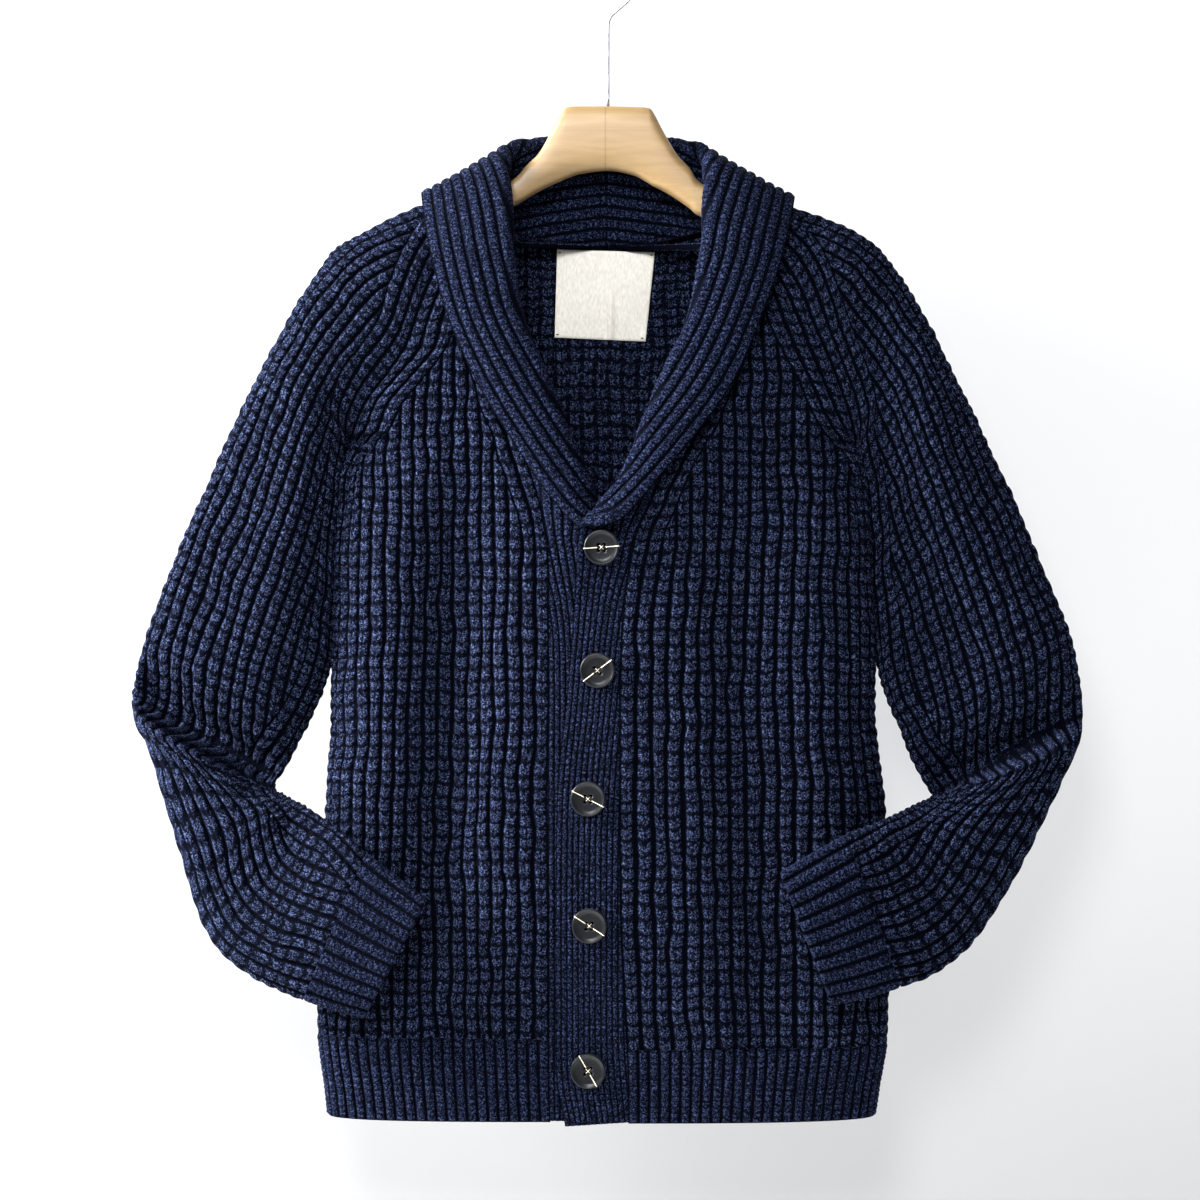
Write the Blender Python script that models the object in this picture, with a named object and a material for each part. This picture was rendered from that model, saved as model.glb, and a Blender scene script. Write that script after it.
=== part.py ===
"""A man's shawl-collar V-neck cardigan in chunky waffle knit, buttoned, on a wooden hanger.

Every piece is the closed wall of cloth that a maker would cut and sew: a back, two
fronts, two raglan sleeves, ribbed hem pieces, ribbed cuffs, and the two halves of the
ribbed band that runs up each front and turns over as the shawl collar.

Tables are in millimetres. x runs to the viewer's right (the wearer's left), y runs
away from the viewer, and drop is the distance below the crown of the hanger's hook,
so z = -drop. The wearer's right is on the viewer's left.
"""

import math
from collections import namedtuple

import bpy
import numpy as np
from mathutils import Vector
from mathutils.geometry import delaunay_2d_cdt

MM = 0.001

KNIT_WALL = 4.0  # thickness of the waffle knit
RIB_WALL = 3.4  # thickness of the ribbed hem and cuffs, between their ribs
COLLAR_WALL = 3.8  # thickness of the band and collar
HEM_RIB_HEIGHT = 1.1
CUFF_RIB_HEIGHT = 1.1
COLLAR_RIB_HEIGHT = 0.5  # each way: a knit rib shows on both faces of the collar
SEAM_GAP = 0.3  # clear space between two pieces that are sewn together
ROLL_RADIUS = 3.2  # inside of the fold along the collar's top edge
NECK_CURVE = 2.2  # exponent of the back neck's scoop
ROUNDNESS = 2.6  # exponent of the sleeves' flattened sections
BODY_ROUNDNESS = 2.8

ARMPIT_ROW = 8  # row of the sleeve tables where the sleeve closes to a tube
HEM_ROW = 9  # the body's rows count on from the armpit: 9 is the top of the hem, 10 its bottom
SLEEVE_COLUMNS = 16
FRONT_COLUMNS = 9
BACK_COLUMNS = 18
YOKE_ROWS = 9
LOWER_ROWS = 9
NECK_ROWS = 6
COLLAR_RIBS = 11

FRONT_RIGHT_RIBS = 24
FRONT_LEFT_RIBS = 27
BACK_RIBS = 58
CUFF_RIBS = 22

HEM_BOTTOM = 878
HEM_TOP = {"right": 816, "left": 823}  # drop where the waffle turns to rib
BACK_HEM_LONGER = 3
NECK_DIP = 24  # how far the back neck's middle lies below its corners

BUTTON_RADIUS = 13.0
BUTTON_LIFT = 0.35  # clear space under a button
HOLE_RADIUS = 1.0
HOLE_SPREAD = 2.3  # from the button's centre to a hole, along the thread
HOLE_PAIRING = 0.7  # the spread across the thread, as a share of that along it
HOLE_SEGMENTS = 6

# One row for each section of a sleeve, from the neck to the cuff's open end. The
# section runs from the front seam over the outer ridge to the back seam. Up to the
# armpit it is an arc of 2 x cut degrees, and from there on a closed tube.
SleeveRow = namedtuple(
    "SleeveRow",
    "ridge_x ridge_drop ridge_y front_x front_drop back_x back_drop "
    "inner_y front_depth back_depth cut lift",
)
SLEEVE_RIGHT = (
    SleeveRow(-116, 182, 0, -113, 210, -105, 191, 0, 20, 15, 90, 0),
    SleeveRow(-139, 189, 0, -121, 223, -116, 205, 0, 23, 18, 97, 0),
    SleeveRow(-164, 199, 0, -130, 240, -128, 224, 0, 27, 21, 103, 0),
    SleeveRow(-187, 211, 0, -140, 264, -140, 252, 0, 31, 24, 109, 0),
    SleeveRow(-207, 223, 0, -152, 297, -154, 290, 0, 32, 27, 116, 0),
    SleeveRow(-220, 240, 0, -167, 320, -169, 316, 0, 33, 29, 124, 0),
    SleeveRow(-234, 261, 0, -183, 341, -185, 339, 0, 34, 30, 136, 0),
    SleeveRow(-245, 281, 0, -192, 361, -194, 360, 0, 34, 30, 155, 0),
    SleeveRow(-255, 299, 0, -197, 373, -197, 373, 0, 34, 30, 180, 0),
    SleeveRow(-272, 332, 0, -201, 409, -201, 409, 0, 33, 29, 180, 0),
    SleeveRow(-289, 367, 0, -204, 447, -204, 447, 0, 32, 28, 180, 0),
    SleeveRow(-304, 402, 0, -206, 481, -206, 481, 0, 31, 28, 180, 0),
    SleeveRow(-318, 432, -1, -208, 513, -208, 513, -1, 30, 28, 180, 0),
    SleeveRow(-331, 465, -2, -211, 541, -211, 541, -2, 29, 28, 180, 0),
    SleeveRow(-343, 496, -3, -218, 562, -218, 562, -4, 27, 28, 180, 0),
    SleeveRow(-352, 523, -4, -228, 584, -228, 584, -6, 23, 28, 180, 0),
    SleeveRow(-358, 544, -5, -238, 604, -238, 604, -8, 16, 28, 180, 0),
    SleeveRow(-360, 556, -6, -246, 619, -246, 619, -10, 8, 28, 180, 0),
    SleeveRow(-361, 562, -7, -251, 626, -251, 626, -12, 7, 28, 180, -3),
    SleeveRow(-360, 567, -8, -253, 630, -253, 630, -14, 20, 28, 180, 5),
    SleeveRow(-359, 574, -10, -252, 632, -252, 632, -16, 29, 28, 180, 7),
    SleeveRow(-355, 585, -12, -251, 632, -251, 632, -17, 31, 27, 180, 3),
    SleeveRow(-346, 602, -15, -249, 634, -249, 634, -19, 31, 26, 180, 0),
    SleeveRow(-334, 640, -19, -245, 635, -245, 635, -22, 30, 25, 180, 0),
    SleeveRow(-320, 681, -24, -239, 638, -239, 638, -27, 29, 24, 180, 0),
    SleeveRow(-308, 720, -29, -231, 641, -231, 641, -33, 27, 22, 180, 0),
    SleeveRow(-291, 750, -35, -220, 647, -220, 647, -40, 25, 20, 180, 0),
    SleeveRow(-267, 768, -42, -204, 656, -204, 656, -48, 23, 18, 180, 0),
    SleeveRow(-245, 778, -50, -191, 665, -191, 665, -56, 20, 15, 180, 0),
    SleeveRow(-226, 785, -56, -179, 675, -179, 675, -62, 17, 13, 180, 0),
    SleeveRow(-204, 792, -60, -156, 692, -156, 692, -67, 14, 11, 180, 0),
    SleeveRow(-180, 798, -62, -133, 709, -133, 709, -70, 13, 10, 180, 0),
)
SLEEVE_LEFT = (
    SleeveRow(117, 185, 0, 116, 212, 105, 193, 0, 20, 15, 90, 0),
    SleeveRow(140, 191, 0, 125, 223, 117, 206, 0, 23, 18, 97, 0),
    SleeveRow(163, 199, 0, 134, 237, 130, 226, 0, 27, 21, 103, 0),
    SleeveRow(184, 208, 0, 145, 256, 143, 251, 0, 31, 24, 109, 0),
    SleeveRow(203, 220, 0, 155, 282, 156, 280, 0, 32, 27, 116, 0),
    SleeveRow(217, 237, 0, 168, 311, 169, 310, 0, 33, 29, 124, 0),
    SleeveRow(228, 253, 0, 178, 337, 180, 337, 0, 34, 30, 136, 0),
    SleeveRow(239, 272, 0, 185, 359, 186, 360, 0, 34, 30, 155, 0),
    SleeveRow(248, 288, 0, 189, 374, 189, 374, 0, 33, 30, 180, 0),
    SleeveRow(262, 317, 0, 195, 409, 195, 409, 0, 31, 29, 180, 0),
    SleeveRow(277, 346, 0, 198, 447, 198, 447, 1, 28, 28, 180, 0),
    SleeveRow(290, 375, 0, 199, 481, 199, 481, 2, 27, 28, 180, 0),
    SleeveRow(307, 410, -1, 202, 513, 202, 513, 2, 28, 28, 180, 0),
    SleeveRow(324, 451, -2, 206, 544, 206, 544, 1, 29, 28, 180, 0),
    SleeveRow(339, 487, -3, 213, 566, 213, 566, -1, 28, 28, 180, 0),
    SleeveRow(350, 515, -4, 222, 588, 222, 588, -4, 25, 28, 180, 0),
    SleeveRow(356, 540, -5, 230, 609, 230, 609, -7, 18, 28, 180, 0),
    SleeveRow(359, 559, -6, 238, 625, 238, 625, -10, 11, 28, 180, 0),
    SleeveRow(360, 570, -7, 243, 633, 243, 633, -12, 9, 28, 180, -2),
    SleeveRow(359, 581, -8, 245, 637, 245, 637, -14, 20, 28, 180, 4),
    SleeveRow(357, 590, -10, 244, 638, 244, 638, -16, 28, 28, 180, 6),
    SleeveRow(354, 601, -12, 242, 639, 242, 639, -17, 30, 27, 180, 3),
    SleeveRow(346, 617, -15, 240, 640, 240, 640, -19, 30, 26, 180, 0),
    SleeveRow(330, 649, -19, 234, 642, 234, 642, -22, 30, 25, 180, 0),
    SleeveRow(311, 686, -24, 226, 645, 226, 645, -27, 28, 24, 180, 0),
    SleeveRow(292, 718, -29, 216, 649, 216, 649, -34, 26, 21, 180, 0),
    SleeveRow(270, 747, -35, 204, 653, 204, 653, -42, 24, 19, 180, 0),
    SleeveRow(244, 766, -43, 190, 658, 190, 658, -50, 21, 16, 180, 0),
    SleeveRow(217, 776, -52, 176, 662, 176, 662, -58, 18, 14, 180, 0),
    SleeveRow(191, 783, -59, 151, 675, 151, 675, -66, 15, 12, 180, 0),
    SleeveRow(165, 788, -64, 126, 689, 126, 689, -71, 13, 10, 180, 0),
)
CUFF_START = {"right": 29, "left": 28}  # table row where the waffle turns to rib

# The side seams, and how far the middle of the back stands behind them.
BodyRow = namedtuple("BodyRow", "drop right_x left_x side_y back_y")
BODY = (
    BodyRow(191, -105, 105, 0, 24),
    BodyRow(217, -112, 112, 0, 26),
    BodyRow(260, -140, 140, 0, 31),
    BodyRow(320, -170, 170, 0, 36),
    BodyRow(374, -197, 189, 0, 38),
    BodyRow(413, -199, 193, 0, 39),
    BodyRow(459, -201, 195, 0, 39),
    BodyRow(531, -202, 198, 0, 38),
    BodyRow(565, -207, 200, 0, 37),
    BodyRow(611, -212, 206, -1, 36),
    BodyRow(652, -214, 210, -2, 35),
    BodyRow(717, -218, 211, -3, 34),
    BodyRow(793, -220, 212, -4, 31),
    BodyRow(823, -219, 211, -4, 30),
    BodyRow(858, -214, 205, -5, 27),
    BodyRow(886, -211, 201, -5, 26),
)

# The band and collar: seam is where it joins the body, roll is the edge that shows,
# and fall is the free edge of the part that turns over. Below the V, fall = roll.
CollarRow = namedtuple(
    "CollarRow",
    "seam_x seam_drop seam_y roll_x roll_drop roll_y fall_x fall_drop fall_y",
)
COLLAR_RIGHT = (
    CollarRow(-43, 877, -44, 2, 877, -44, 2, 877, -44),
    CollarRow(-44, 831, -46, 2, 831, -46, 2, 831, -46),
    CollarRow(-44, 734, -50, 2, 734, -50, 2, 734, -50),
    CollarRow(-45, 637, -51, 2, 637, -51, 2, 637, -51),
    CollarRow(-44, 563, -50, 2, 563, -50, 2, 563, -50),
    CollarRow(-44, 504, -48, 2, 504, -48, 2, 504, -48),
    CollarRow(-44, 470, -46, 3, 468, -46, 3, 468, -46),
    CollarRow(-45, 447, -45, 2, 446, -47, 2, 446, -47),
    CollarRow(-48, 428, -43, -5, 427, -47, -23, 431, -50),
    CollarRow(-54, 405, -41, -11, 404, -48, -44, 410, -52),
    CollarRow(-66, 369, -38, -25, 370, -47, -68, 375, -50),
    CollarRow(-82, 321, -34, -46, 318, -46, -98, 325, -46),
    CollarRow(-97, 275, -31, -63, 277, -45, -119, 277, -42),
    CollarRow(-107, 235, -27, -69, 237, -42, -130, 238, -37),
    CollarRow(-113, 210, -20, -71, 201, -34, -136, 211, -27),
    CollarRow(-116, 182, 0, -74, 161, -16, -140, 183, -6),
    CollarRow(-106, 189, 15, -71, 144, 1, -136, 190, 24),
    CollarRow(-75, 205, 22, -56, 136, 14, -112, 208, 39),
    CollarRow(-37, 215, 24, -29, 133, 22, -60, 224, 44),
    CollarRow(0, 217, 25, 0, 131, 25, 0, 229, 46),
)
COLLAR_LEFT = (
    CollarRow(15, 877, -50, -32, 880, -50, -32, 880, -50),
    CollarRow(14, 830, -52, -39, 830, -52, -39, 830, -52),
    CollarRow(9, 733, -56, -39, 733, -56, -39, 733, -56),
    CollarRow(8, 637, -57, -38, 637, -57, -38, 637, -57),
    CollarRow(8, 563, -56, -31, 563, -56, -31, 563, -56),
    CollarRow(10, 504, -56, -26, 504, -56, -26, 504, -56),
    CollarRow(14, 470, -56, -24, 467, -60, -24, 467, -60),
    CollarRow(20, 440, -55, -21, 437, -64, -21, 437, -64),
    CollarRow(30, 418, -52, -8, 419, -62, 10, 428, -67),
    CollarRow(41, 392, -48, 10, 394, -57, 38, 397, -62),
    CollarRow(61, 355, -42, 26, 353, -51, 70, 359, -55),
    CollarRow(78, 313, -37, 42, 314, -48, 95, 322, -50),
    CollarRow(95, 272, -33, 59, 277, -46, 114, 277, -46),
    CollarRow(106, 235, -28, 67, 237, -42, 127, 241, -39),
    CollarRow(116, 212, -20, 70, 203, -33, 134, 215, -28),
    CollarRow(117, 185, 0, 72, 163, -15, 140, 186, -6),
    CollarRow(106, 190, 15, 69, 146, 2, 136, 193, 24),
    CollarRow(75, 205, 22, 54, 137, 14, 112, 209, 39),
    CollarRow(35, 215, 24, 27, 134, 22, 60, 224, 44),
    CollarRow(0, 217, 25, 0, 131, 25, 0, 229, 46),
)

# Soft ridges (height over 0) and hollows in the knit, each along a straight line.
Fold = namedtuple("Fold", "start_x start_drop end_x end_drop width height")
FRONT_FOLDS = (
    Fold(-100, 430, -112, 800, 36, -7),
    Fold(-165, 440, -182, 700, 26, 3),
    Fold(95, 460, 120, 800, 34, -6),
    Fold(160, 440, 178, 700, 26, 3),
)
BACK_FOLDS = (
    Fold(-90, 400, -105, 800, 42, -6),
    Fold(85, 410, 110, 800, 42, -6),
    Fold(-10, 330, 5, 760, 40, 2),
)

Button = namedtuple("Button", "x drop thread_angle")
BUTTONS = (
    Button(-5, 450, 4),
    Button(-8, 541, 37),
    Button(-15, 636, -27),
    Button(-14, 730, -33),
    Button(-15, 838, -60),
)
# Radius and height above the back of the button: a round edge, a rim and a dish.
BUTTON_PROFILE = (
    (11.2, 0.0),
    (12.7, 1.0),
    (13.0, 2.4),
    (12.4, 3.9),
    (11.6, 4.2),
    (10.6, 3.5),
    (4.4, 2.9),
)
BUTTON_SEGMENTS = 20

LABEL_CORNERS = ((-39, 220), (36, 222), (29, 290), (-41, 287))  # x and drop, clockwise
LABEL_WALL = 1.0
LABEL_GAP = 0.4
LABEL_CELLS = 5

# The wooden hanger, a row for each upright section across it.
HangerRow = namedtuple("HangerRow", "x top bottom half_thickness")
HANGER = (
    HangerRow(-202, 231, 240, 4.0),
    HangerRow(-198, 226, 244, 6.5),
    HangerRow(-187, 219, 242, 8.0),
    HangerRow(-164, 206.5, 232, 8.5),
    HangerRow(-139, 196, 221, 9.0),
    HangerRow(-118, 193, 214, 6.5),
    HangerRow(-95, 183, 202, 8.5),
    HangerRow(-71, 169, 189, 10.0),
    HangerRow(-62, 159, 184, 10.0),
    HangerRow(-52, 149, 178, 10.0),
    HangerRow(-42, 131, 173, 10.0),
    HangerRow(-35, 118, 170, 10.0),
    HangerRow(-30, 114.5, 168, 10.0),
    HangerRow(-21, 114, 165, 10.0),
    HangerRow(0, 114, 162.5, 10.0),
    HangerRow(19, 114.5, 166, 10.0),
    HangerRow(29, 115, 171, 10.0),
    HangerRow(34, 118, 174, 10.0),
    HangerRow(42, 133, 178, 10.0),
    HangerRow(52, 150, 184, 10.0),
    HangerRow(62, 161, 191, 10.0),
    HangerRow(70, 172, 197, 10.0),
    HangerRow(95, 185, 206, 8.5),
    HangerRow(118, 195.5, 217, 6.5),
    HangerRow(139, 198, 223, 9.0),
    HangerRow(164, 206.5, 232, 8.5),
    HangerRow(187, 217, 241, 8.0),
    HangerRow(198, 224, 242, 6.5),
    HangerRow(202, 229, 238, 4.0),
)
HANGER_SIDES = 10
HANGER_ROUNDNESS = 2.5

HOOK_WIRE = 1.25  # radius of the wire
HOOK_SIDES = 8
HOOK_LOOP = 20.75  # radius of the loop's middle line
HOOK_LOOP_CENTRE = 19.5  # drop of the loop's centre
HOOK_LOOP_FROM, HOOK_LOOP_TO = -45, 205  # degrees, from the viewer's right over the top
HOOK_LOOP_STEPS = 18
HOOK_STEM_X = 0.0
HOOK_STEM_BEND = 47.0  # drop where the stem leans towards the loop


def row_at(table, position):
    """Every column of a table at a row position, on a smooth curve that never overshoots."""
    rows = np.asarray(table, float)
    position = min(max(position, 0.0), len(rows) - 1.0)
    index = min(int(position), len(rows) - 2)
    part = position - index
    before = rows[index] - rows[max(index - 1, 0)]
    here = rows[index + 1] - rows[index]
    after = rows[min(index + 2, len(rows) - 1)] - rows[index + 1]
    start = limited_slope(before, here) if index > 0 else here
    end = limited_slope(here, after) if index < len(rows) - 2 else here
    square, cube = part**2, part**3
    return (
        rows[index] * (2 * cube - 3 * square + 1)
        + rows[index + 1] * (3 * square - 2 * cube)
        + start * (cube - 2 * square + part)
        + end * (cube - square)
    )


def limited_slope(one, two):
    slope = (one + two) / 2
    limit = 3 * np.minimum(np.abs(one), np.abs(two))
    return np.where(one * two > 0, np.clip(slope, -limit, limit), 0.0)


def position_of(table, column, value):
    """Row position where a column, rising or falling all the way, reaches a value."""
    low, high = 0.0, len(table) - 1.0
    rising = table[-1][column] > table[0][column]
    for _ in range(40):
        middle = (low + high) / 2
        if (row_at(table, middle)[column] < value) == rising:
            low = middle
        else:
            high = middle
    return (low + high) / 2


def unit(vectors):
    return vectors / np.linalg.norm(vectors, axis=-1, keepdims=True)


def mix(one, two, share):
    return one + (two - one) * share


def space_point(x, drop, y):
    return np.array((x, y, -drop))


def sleeve_point(rows, position, turn):
    """Outer face of a sleeve: turn is -1 at the back seam, 0 on the ridge, 1 at the front."""
    row = SleeveRow(*row_at(rows, position))
    cut = math.radians(row.cut)
    angle = abs(turn) * cut
    along = (1 - math.cos(angle)) / (1 - math.cos(cut))
    bulge = max(math.sin(angle), 0.0) ** (2 / ROUNDNESS)
    if turn > 0:
        end_x, end_drop = row.front_x, row.front_drop
        depth = -row.front_depth * bulge - row.lift * bulge**4
    else:
        end_x, end_drop = row.back_x, row.back_drop
        depth = row.back_depth * bulge
    return space_point(
        mix(row.ridge_x, end_x, along),
        mix(row.ridge_drop, end_drop, along),
        mix(row.ridge_y, row.inner_y, along) + depth,
    )


def fold_depth(folds, x, drop):
    """How far the knit stands out at a place, from the ridges and hollows near it."""
    place = np.array((x, drop))
    total = 0.0
    for fold in folds:
        start = np.array((fold.start_x, fold.start_drop), float)
        line = np.array((fold.end_x, fold.end_drop), float) - start
        share = np.clip(np.dot(place - start, line) / np.dot(line, line), 0.0, 1.0)
        distance = np.linalg.norm(place - start - line * share)
        total += fold.height * math.exp(-((distance / fold.width) ** 2))
    return total


def ease(value):
    value = min(max(value, 0.0), 1.0)
    return value * value * (3 - 2 * value)


def side_point(side, drop):
    rows = [(row.drop, row.right_x if side == "right" else row.left_x, row.side_y) for row in BODY]
    _, x, y = row_at(rows, position_of(rows, 0, drop))
    return space_point(x, drop, y)


def back_middle(drop):
    rows = [(row.drop, row.back_y) for row in BODY]
    return row_at(rows, position_of(rows, 0, drop))[1]


def body_edge(side, face, position):
    """The raglan seam down to the armpit, the side seam to the rib, then the rib's side.

    face is 1 for the front's edge and -1 for the back's.
    """
    rows = SLEEVE_RIGHT if side == "right" else SLEEVE_LEFT
    if position <= ARMPIT_ROW:
        return sleeve_point(rows, position, face)
    levels = (rows[ARMPIT_ROW].front_drop, HEM_TOP[side], HEM_BOTTOM)
    drop = np.interp(position, (ARMPIT_ROW, HEM_ROW, HEM_ROW + 1), levels)
    return side_point(side, drop)


def section_depth(reach):
    """Share of the full depth at a share of the way from the side to the middle."""
    outside = min(max(1 - reach, 0.0), 1.0)
    return max(1 - outside**BODY_ROUNDNESS, 0.0) ** (1 / BODY_ROUNDNESS)


def across_body(edge, side, middle, share, folds, outward):
    """A place on the row from the side or raglan seam (share 0) to the middle (share 1).

    side is where the same section would reach the side seam, were there no sleeve.
    """
    along = 1 - max(math.cos(share * math.pi / 2), 0.0) ** (2 / BODY_ROUNDNESS)
    x = mix(edge[0], middle[0], along)
    width = middle[0] - side[0]
    depth = mix(side[1], middle[1], section_depth((x - side[0]) / width))
    edge_depth = mix(side[1], middle[1], section_depth((edge[0] - side[0]) / width))
    depth += (edge[1] - edge_depth) * (1 - along) ** 2
    level = mix(edge[2], middle[2], 1 - (1 - along) ** NECK_CURVE)
    calm = ease(share * 4) * ease((1 - share) * 4)
    depth += outward * calm * fold_depth(folds, x, -level)
    return np.array((x, depth, level))


def front_point(side, position, share):
    edge = body_edge(side, 1, position)
    collar = COLLAR_RIGHT if side == "right" else COLLAR_LEFT
    drop = -edge[2]
    seam = row_at(collar, position_of(collar, 1, drop) if drop < 876 else 0)
    middle = space_point(seam[0], drop, seam[2])
    section_side = body_edge(side, 1, max(position, ARMPIT_ROW))
    return across_body(edge, section_side, middle, share, FRONT_FOLDS, -1)


def back_point(position, share):
    """share runs from 0 at the wearer's right seam to 2 at the left one."""
    right, left = body_edge("right", -1, position), body_edge("left", -1, position)
    edge, side = (right, "right") if share <= 1 else (left, "left")
    section_side = body_edge(side, -1, max(position, ARMPIT_ROW))
    level = (right[2] + left[2]) / 2
    neck_dip = NECK_DIP * (1 - ease(position / 5))
    drop = -level + neck_dip + BACK_HEM_LONGER * max(position - HEM_ROW, 0)
    middle = space_point((right[0] + left[0]) / 2, drop, back_middle(drop))
    return across_body(edge, section_side, middle, min(share, 2 - share), BACK_FOLDS, 1)


def collar_path(rows, position, outward):
    """Points along the collar's section, from its seam over the roll to its free edge."""
    row = CollarRow(*row_at(rows, position))
    seam = space_point(row.seam_x, row.seam_drop, row.seam_y)
    roll = space_point(row.roll_x, row.roll_drop, row.roll_y)
    fall = space_point(row.fall_x, row.fall_drop, row.fall_y)
    before, after = row_at(rows, position - 0.5), row_at(rows, position + 0.5)
    run = space_point(*(after[3:6] - before[3:6]))
    length = np.linalg.norm(fall - roll)
    reach = unit(roll - mix(seam, fall, ease(length / 40) / 2))
    lift = unit(np.cross(reach, run)) * outward
    turned = ease(length / (4 * ROLL_RADIUS))
    radius = ROLL_RADIUS * turned
    centre = roll - reach * (radius + COLLAR_WALL * turned)
    stand_top = centre - lift * radius
    arc = [
        centre + radius * (math.cos(a) * reach + math.sin(a) * lift)
        for a in np.linspace(-math.pi / 2, math.pi / 2, 9)
    ]
    stand = [
        mix(seam, stand_top, share) + lift * 3 * turned * math.sin(math.pi * share)
        for share in np.linspace(0, 1, 12)[:-1]
    ]
    start = arc[-1]
    fall_part = [
        mix(start, fall, share) + lift * 2.5 * turned * math.sin(math.pi * share)
        for share in np.linspace(0, 1, 16)[1:]
    ]
    if length < 1:
        fall_part = [mix(start, roll, share) for share in np.linspace(0, 1, 16)[1:]]
    return np.array(stand + arc + fall_part)


def even_points(path, shares):
    """The path's points at shares of its length."""
    steps = np.linalg.norm(np.diff(path, axis=0), axis=1)
    reached = np.concatenate(([0.0], np.cumsum(steps)))
    wanted = np.asarray(shares) * reached[-1]
    return np.stack([np.interp(wanted, reached, path[:, axis]) for axis in range(3)], axis=1)


def grid_normals(grid, outward):
    """Normals of a grid of rows and columns; outward is 1 or -1 for its handedness."""
    down = np.gradient(grid, axis=0)
    across = np.gradient(grid, axis=1)
    return unit(np.cross(across, down)) * outward


def share_edge(normals, column, shared, reach=2):
    """Gives an edge column the normals of its seam, and turns the next ones towards them."""
    inward = 1 if column == 0 else -1
    normals[:, column] = shared
    for step in range(1, reach + 1):
        weight = 1 - step / (reach + 1)
        beside = column + inward * step
        normals[:, beside] = unit(mix(normals[:, beside], shared, weight))


def level_rows(normals, *rows):
    """Turns whole rows of normals level, so that the wall's edge there is cut level."""
    for row in rows:
        normals[row, :, 2] = 0
        normals[row] = unit(normals[row])


def flatten_row(grid, normals, row):
    """Turns a row of a tube's normals into the plane of its section, and returns that plane's."""
    middle = grid.shape[1] // 2
    plane = unit(np.cross(grid[row, 0] - grid[row, middle], (0.0, 1.0, 0.0)))
    normals[row] = unit(normals[row] - np.outer(normals[row] @ plane, plane))
    return plane


def material(name, colour, roughness, metallic=0.0):
    made = bpy.data.materials.new(name)
    made.use_nodes = True
    shader = made.node_tree.nodes["Principled BSDF"]
    shader.inputs["Base Color"].default_value = (*colour, 1.0)
    shader.inputs["Roughness"].default_value = roughness
    shader.inputs["Metallic"].default_value = metallic
    made.diffuse_color = (*colour, 1.0)
    return made


def add_mesh(name, points, triangles, made_of):
    """An object from points in millimetres, its faces turned outwards."""
    points = np.asarray(points, float)
    corners = points[np.asarray(triangles)]
    volume = np.einsum("ij,ij->i", corners[:, 0], np.cross(corners[:, 1], corners[:, 2])).sum()
    if volume < 0:
        triangles = [(a, c, b) for a, b, c in triangles]
    mesh = bpy.data.meshes.new(name)
    mesh.from_pydata([tuple(p) for p in points * MM], [], [tuple(map(int, t)) for t in triangles])
    mesh.materials.append(made_of)
    added = bpy.data.objects.new(name, mesh)
    bpy.context.scene.collection.objects.link(added)
    return added


def add_wall(name, outer, inner, made_of, closed_from=None):
    """The closed wall between two grids. From row closed_from on, its two edges are one."""
    rows, columns = outer.shape[:2]
    closed_from = rows if closed_from is None else closed_from

    def index(row, column):
        if column == columns - 1 and row >= closed_from:
            column = 0
        return row * columns + column

    triangles = []

    def quad(a, b, c, d):
        triangles.extend(((a, b, c), (a, c, d)))

    shift = rows * columns
    for row in range(rows - 1):
        for column in range(columns - 1):
            a, b = index(row, column), index(row, column + 1)
            c, d = index(row + 1, column + 1), index(row + 1, column)
            quad(a, b, c, d)
            quad(shift + a, shift + d, shift + c, shift + b)
    for column in range(columns - 1):
        a, b = index(0, column), index(0, column + 1)
        quad(a, shift + a, shift + b, b)
        a, b = index(rows - 1, column), index(rows - 1, column + 1)
        quad(a, b, shift + b, shift + a)
    for row in range(min(closed_from, rows - 1)):
        a, b = index(row, 0), index(row + 1, 0)
        quad(a, b, shift + b, shift + a)
        a, b = index(row, columns - 1), index(row + 1, columns - 1)
        quad(a, shift + a, shift + b, b)
    points = np.concatenate((outer.reshape(-1, 3), inner.reshape(-1, 3)))
    used = np.unique(triangles)
    renumber = np.zeros(len(points), int)
    renumber[used] = np.arange(len(used))
    return add_mesh(name, points[used], renumber[np.asarray(triangles)].tolist(), made_of)


def add_rings(name, rings, made_of):
    """A solid through rings of points, closed by a fan at each end."""
    count = len(rings[0])
    points = np.concatenate([*rings, [np.mean(rings[0], axis=0)], [np.mean(rings[-1], axis=0)]])
    first_middle = len(points) - 2
    triangles = []
    for ring in range(len(rings) - 1):
        for side in range(count):
            a, b = ring * count + side, ring * count + (side + 1) % count
            triangles.extend(((a, b, b + count), (a, b + count, a + count)))
    last = (len(rings) - 1) * count
    for side in range(count):
        following = (side + 1) % count
        triangles.append((first_middle, following, side))
        triangles.append((first_middle + 1, last + side, last + following))
    return add_mesh(name, points, triangles, made_of)


def sleeve_grid(rows, positions, columns):
    turns = np.linspace(1, -1, columns + 1)
    return np.array([[sleeve_point(rows, p, t) for t in turns] for p in positions])


def inset_columns(grid, gap, first=True, last=True):
    """Moves a grid's first and last columns a gap inwards along its rows."""
    moved = grid.copy()
    if first:
        moved[:, 0] += unit(grid[:, 1] - grid[:, 0]) * gap
    if last:
        moved[:, -1] += unit(grid[:, -2] - grid[:, -1]) * gap
    return moved


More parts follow.
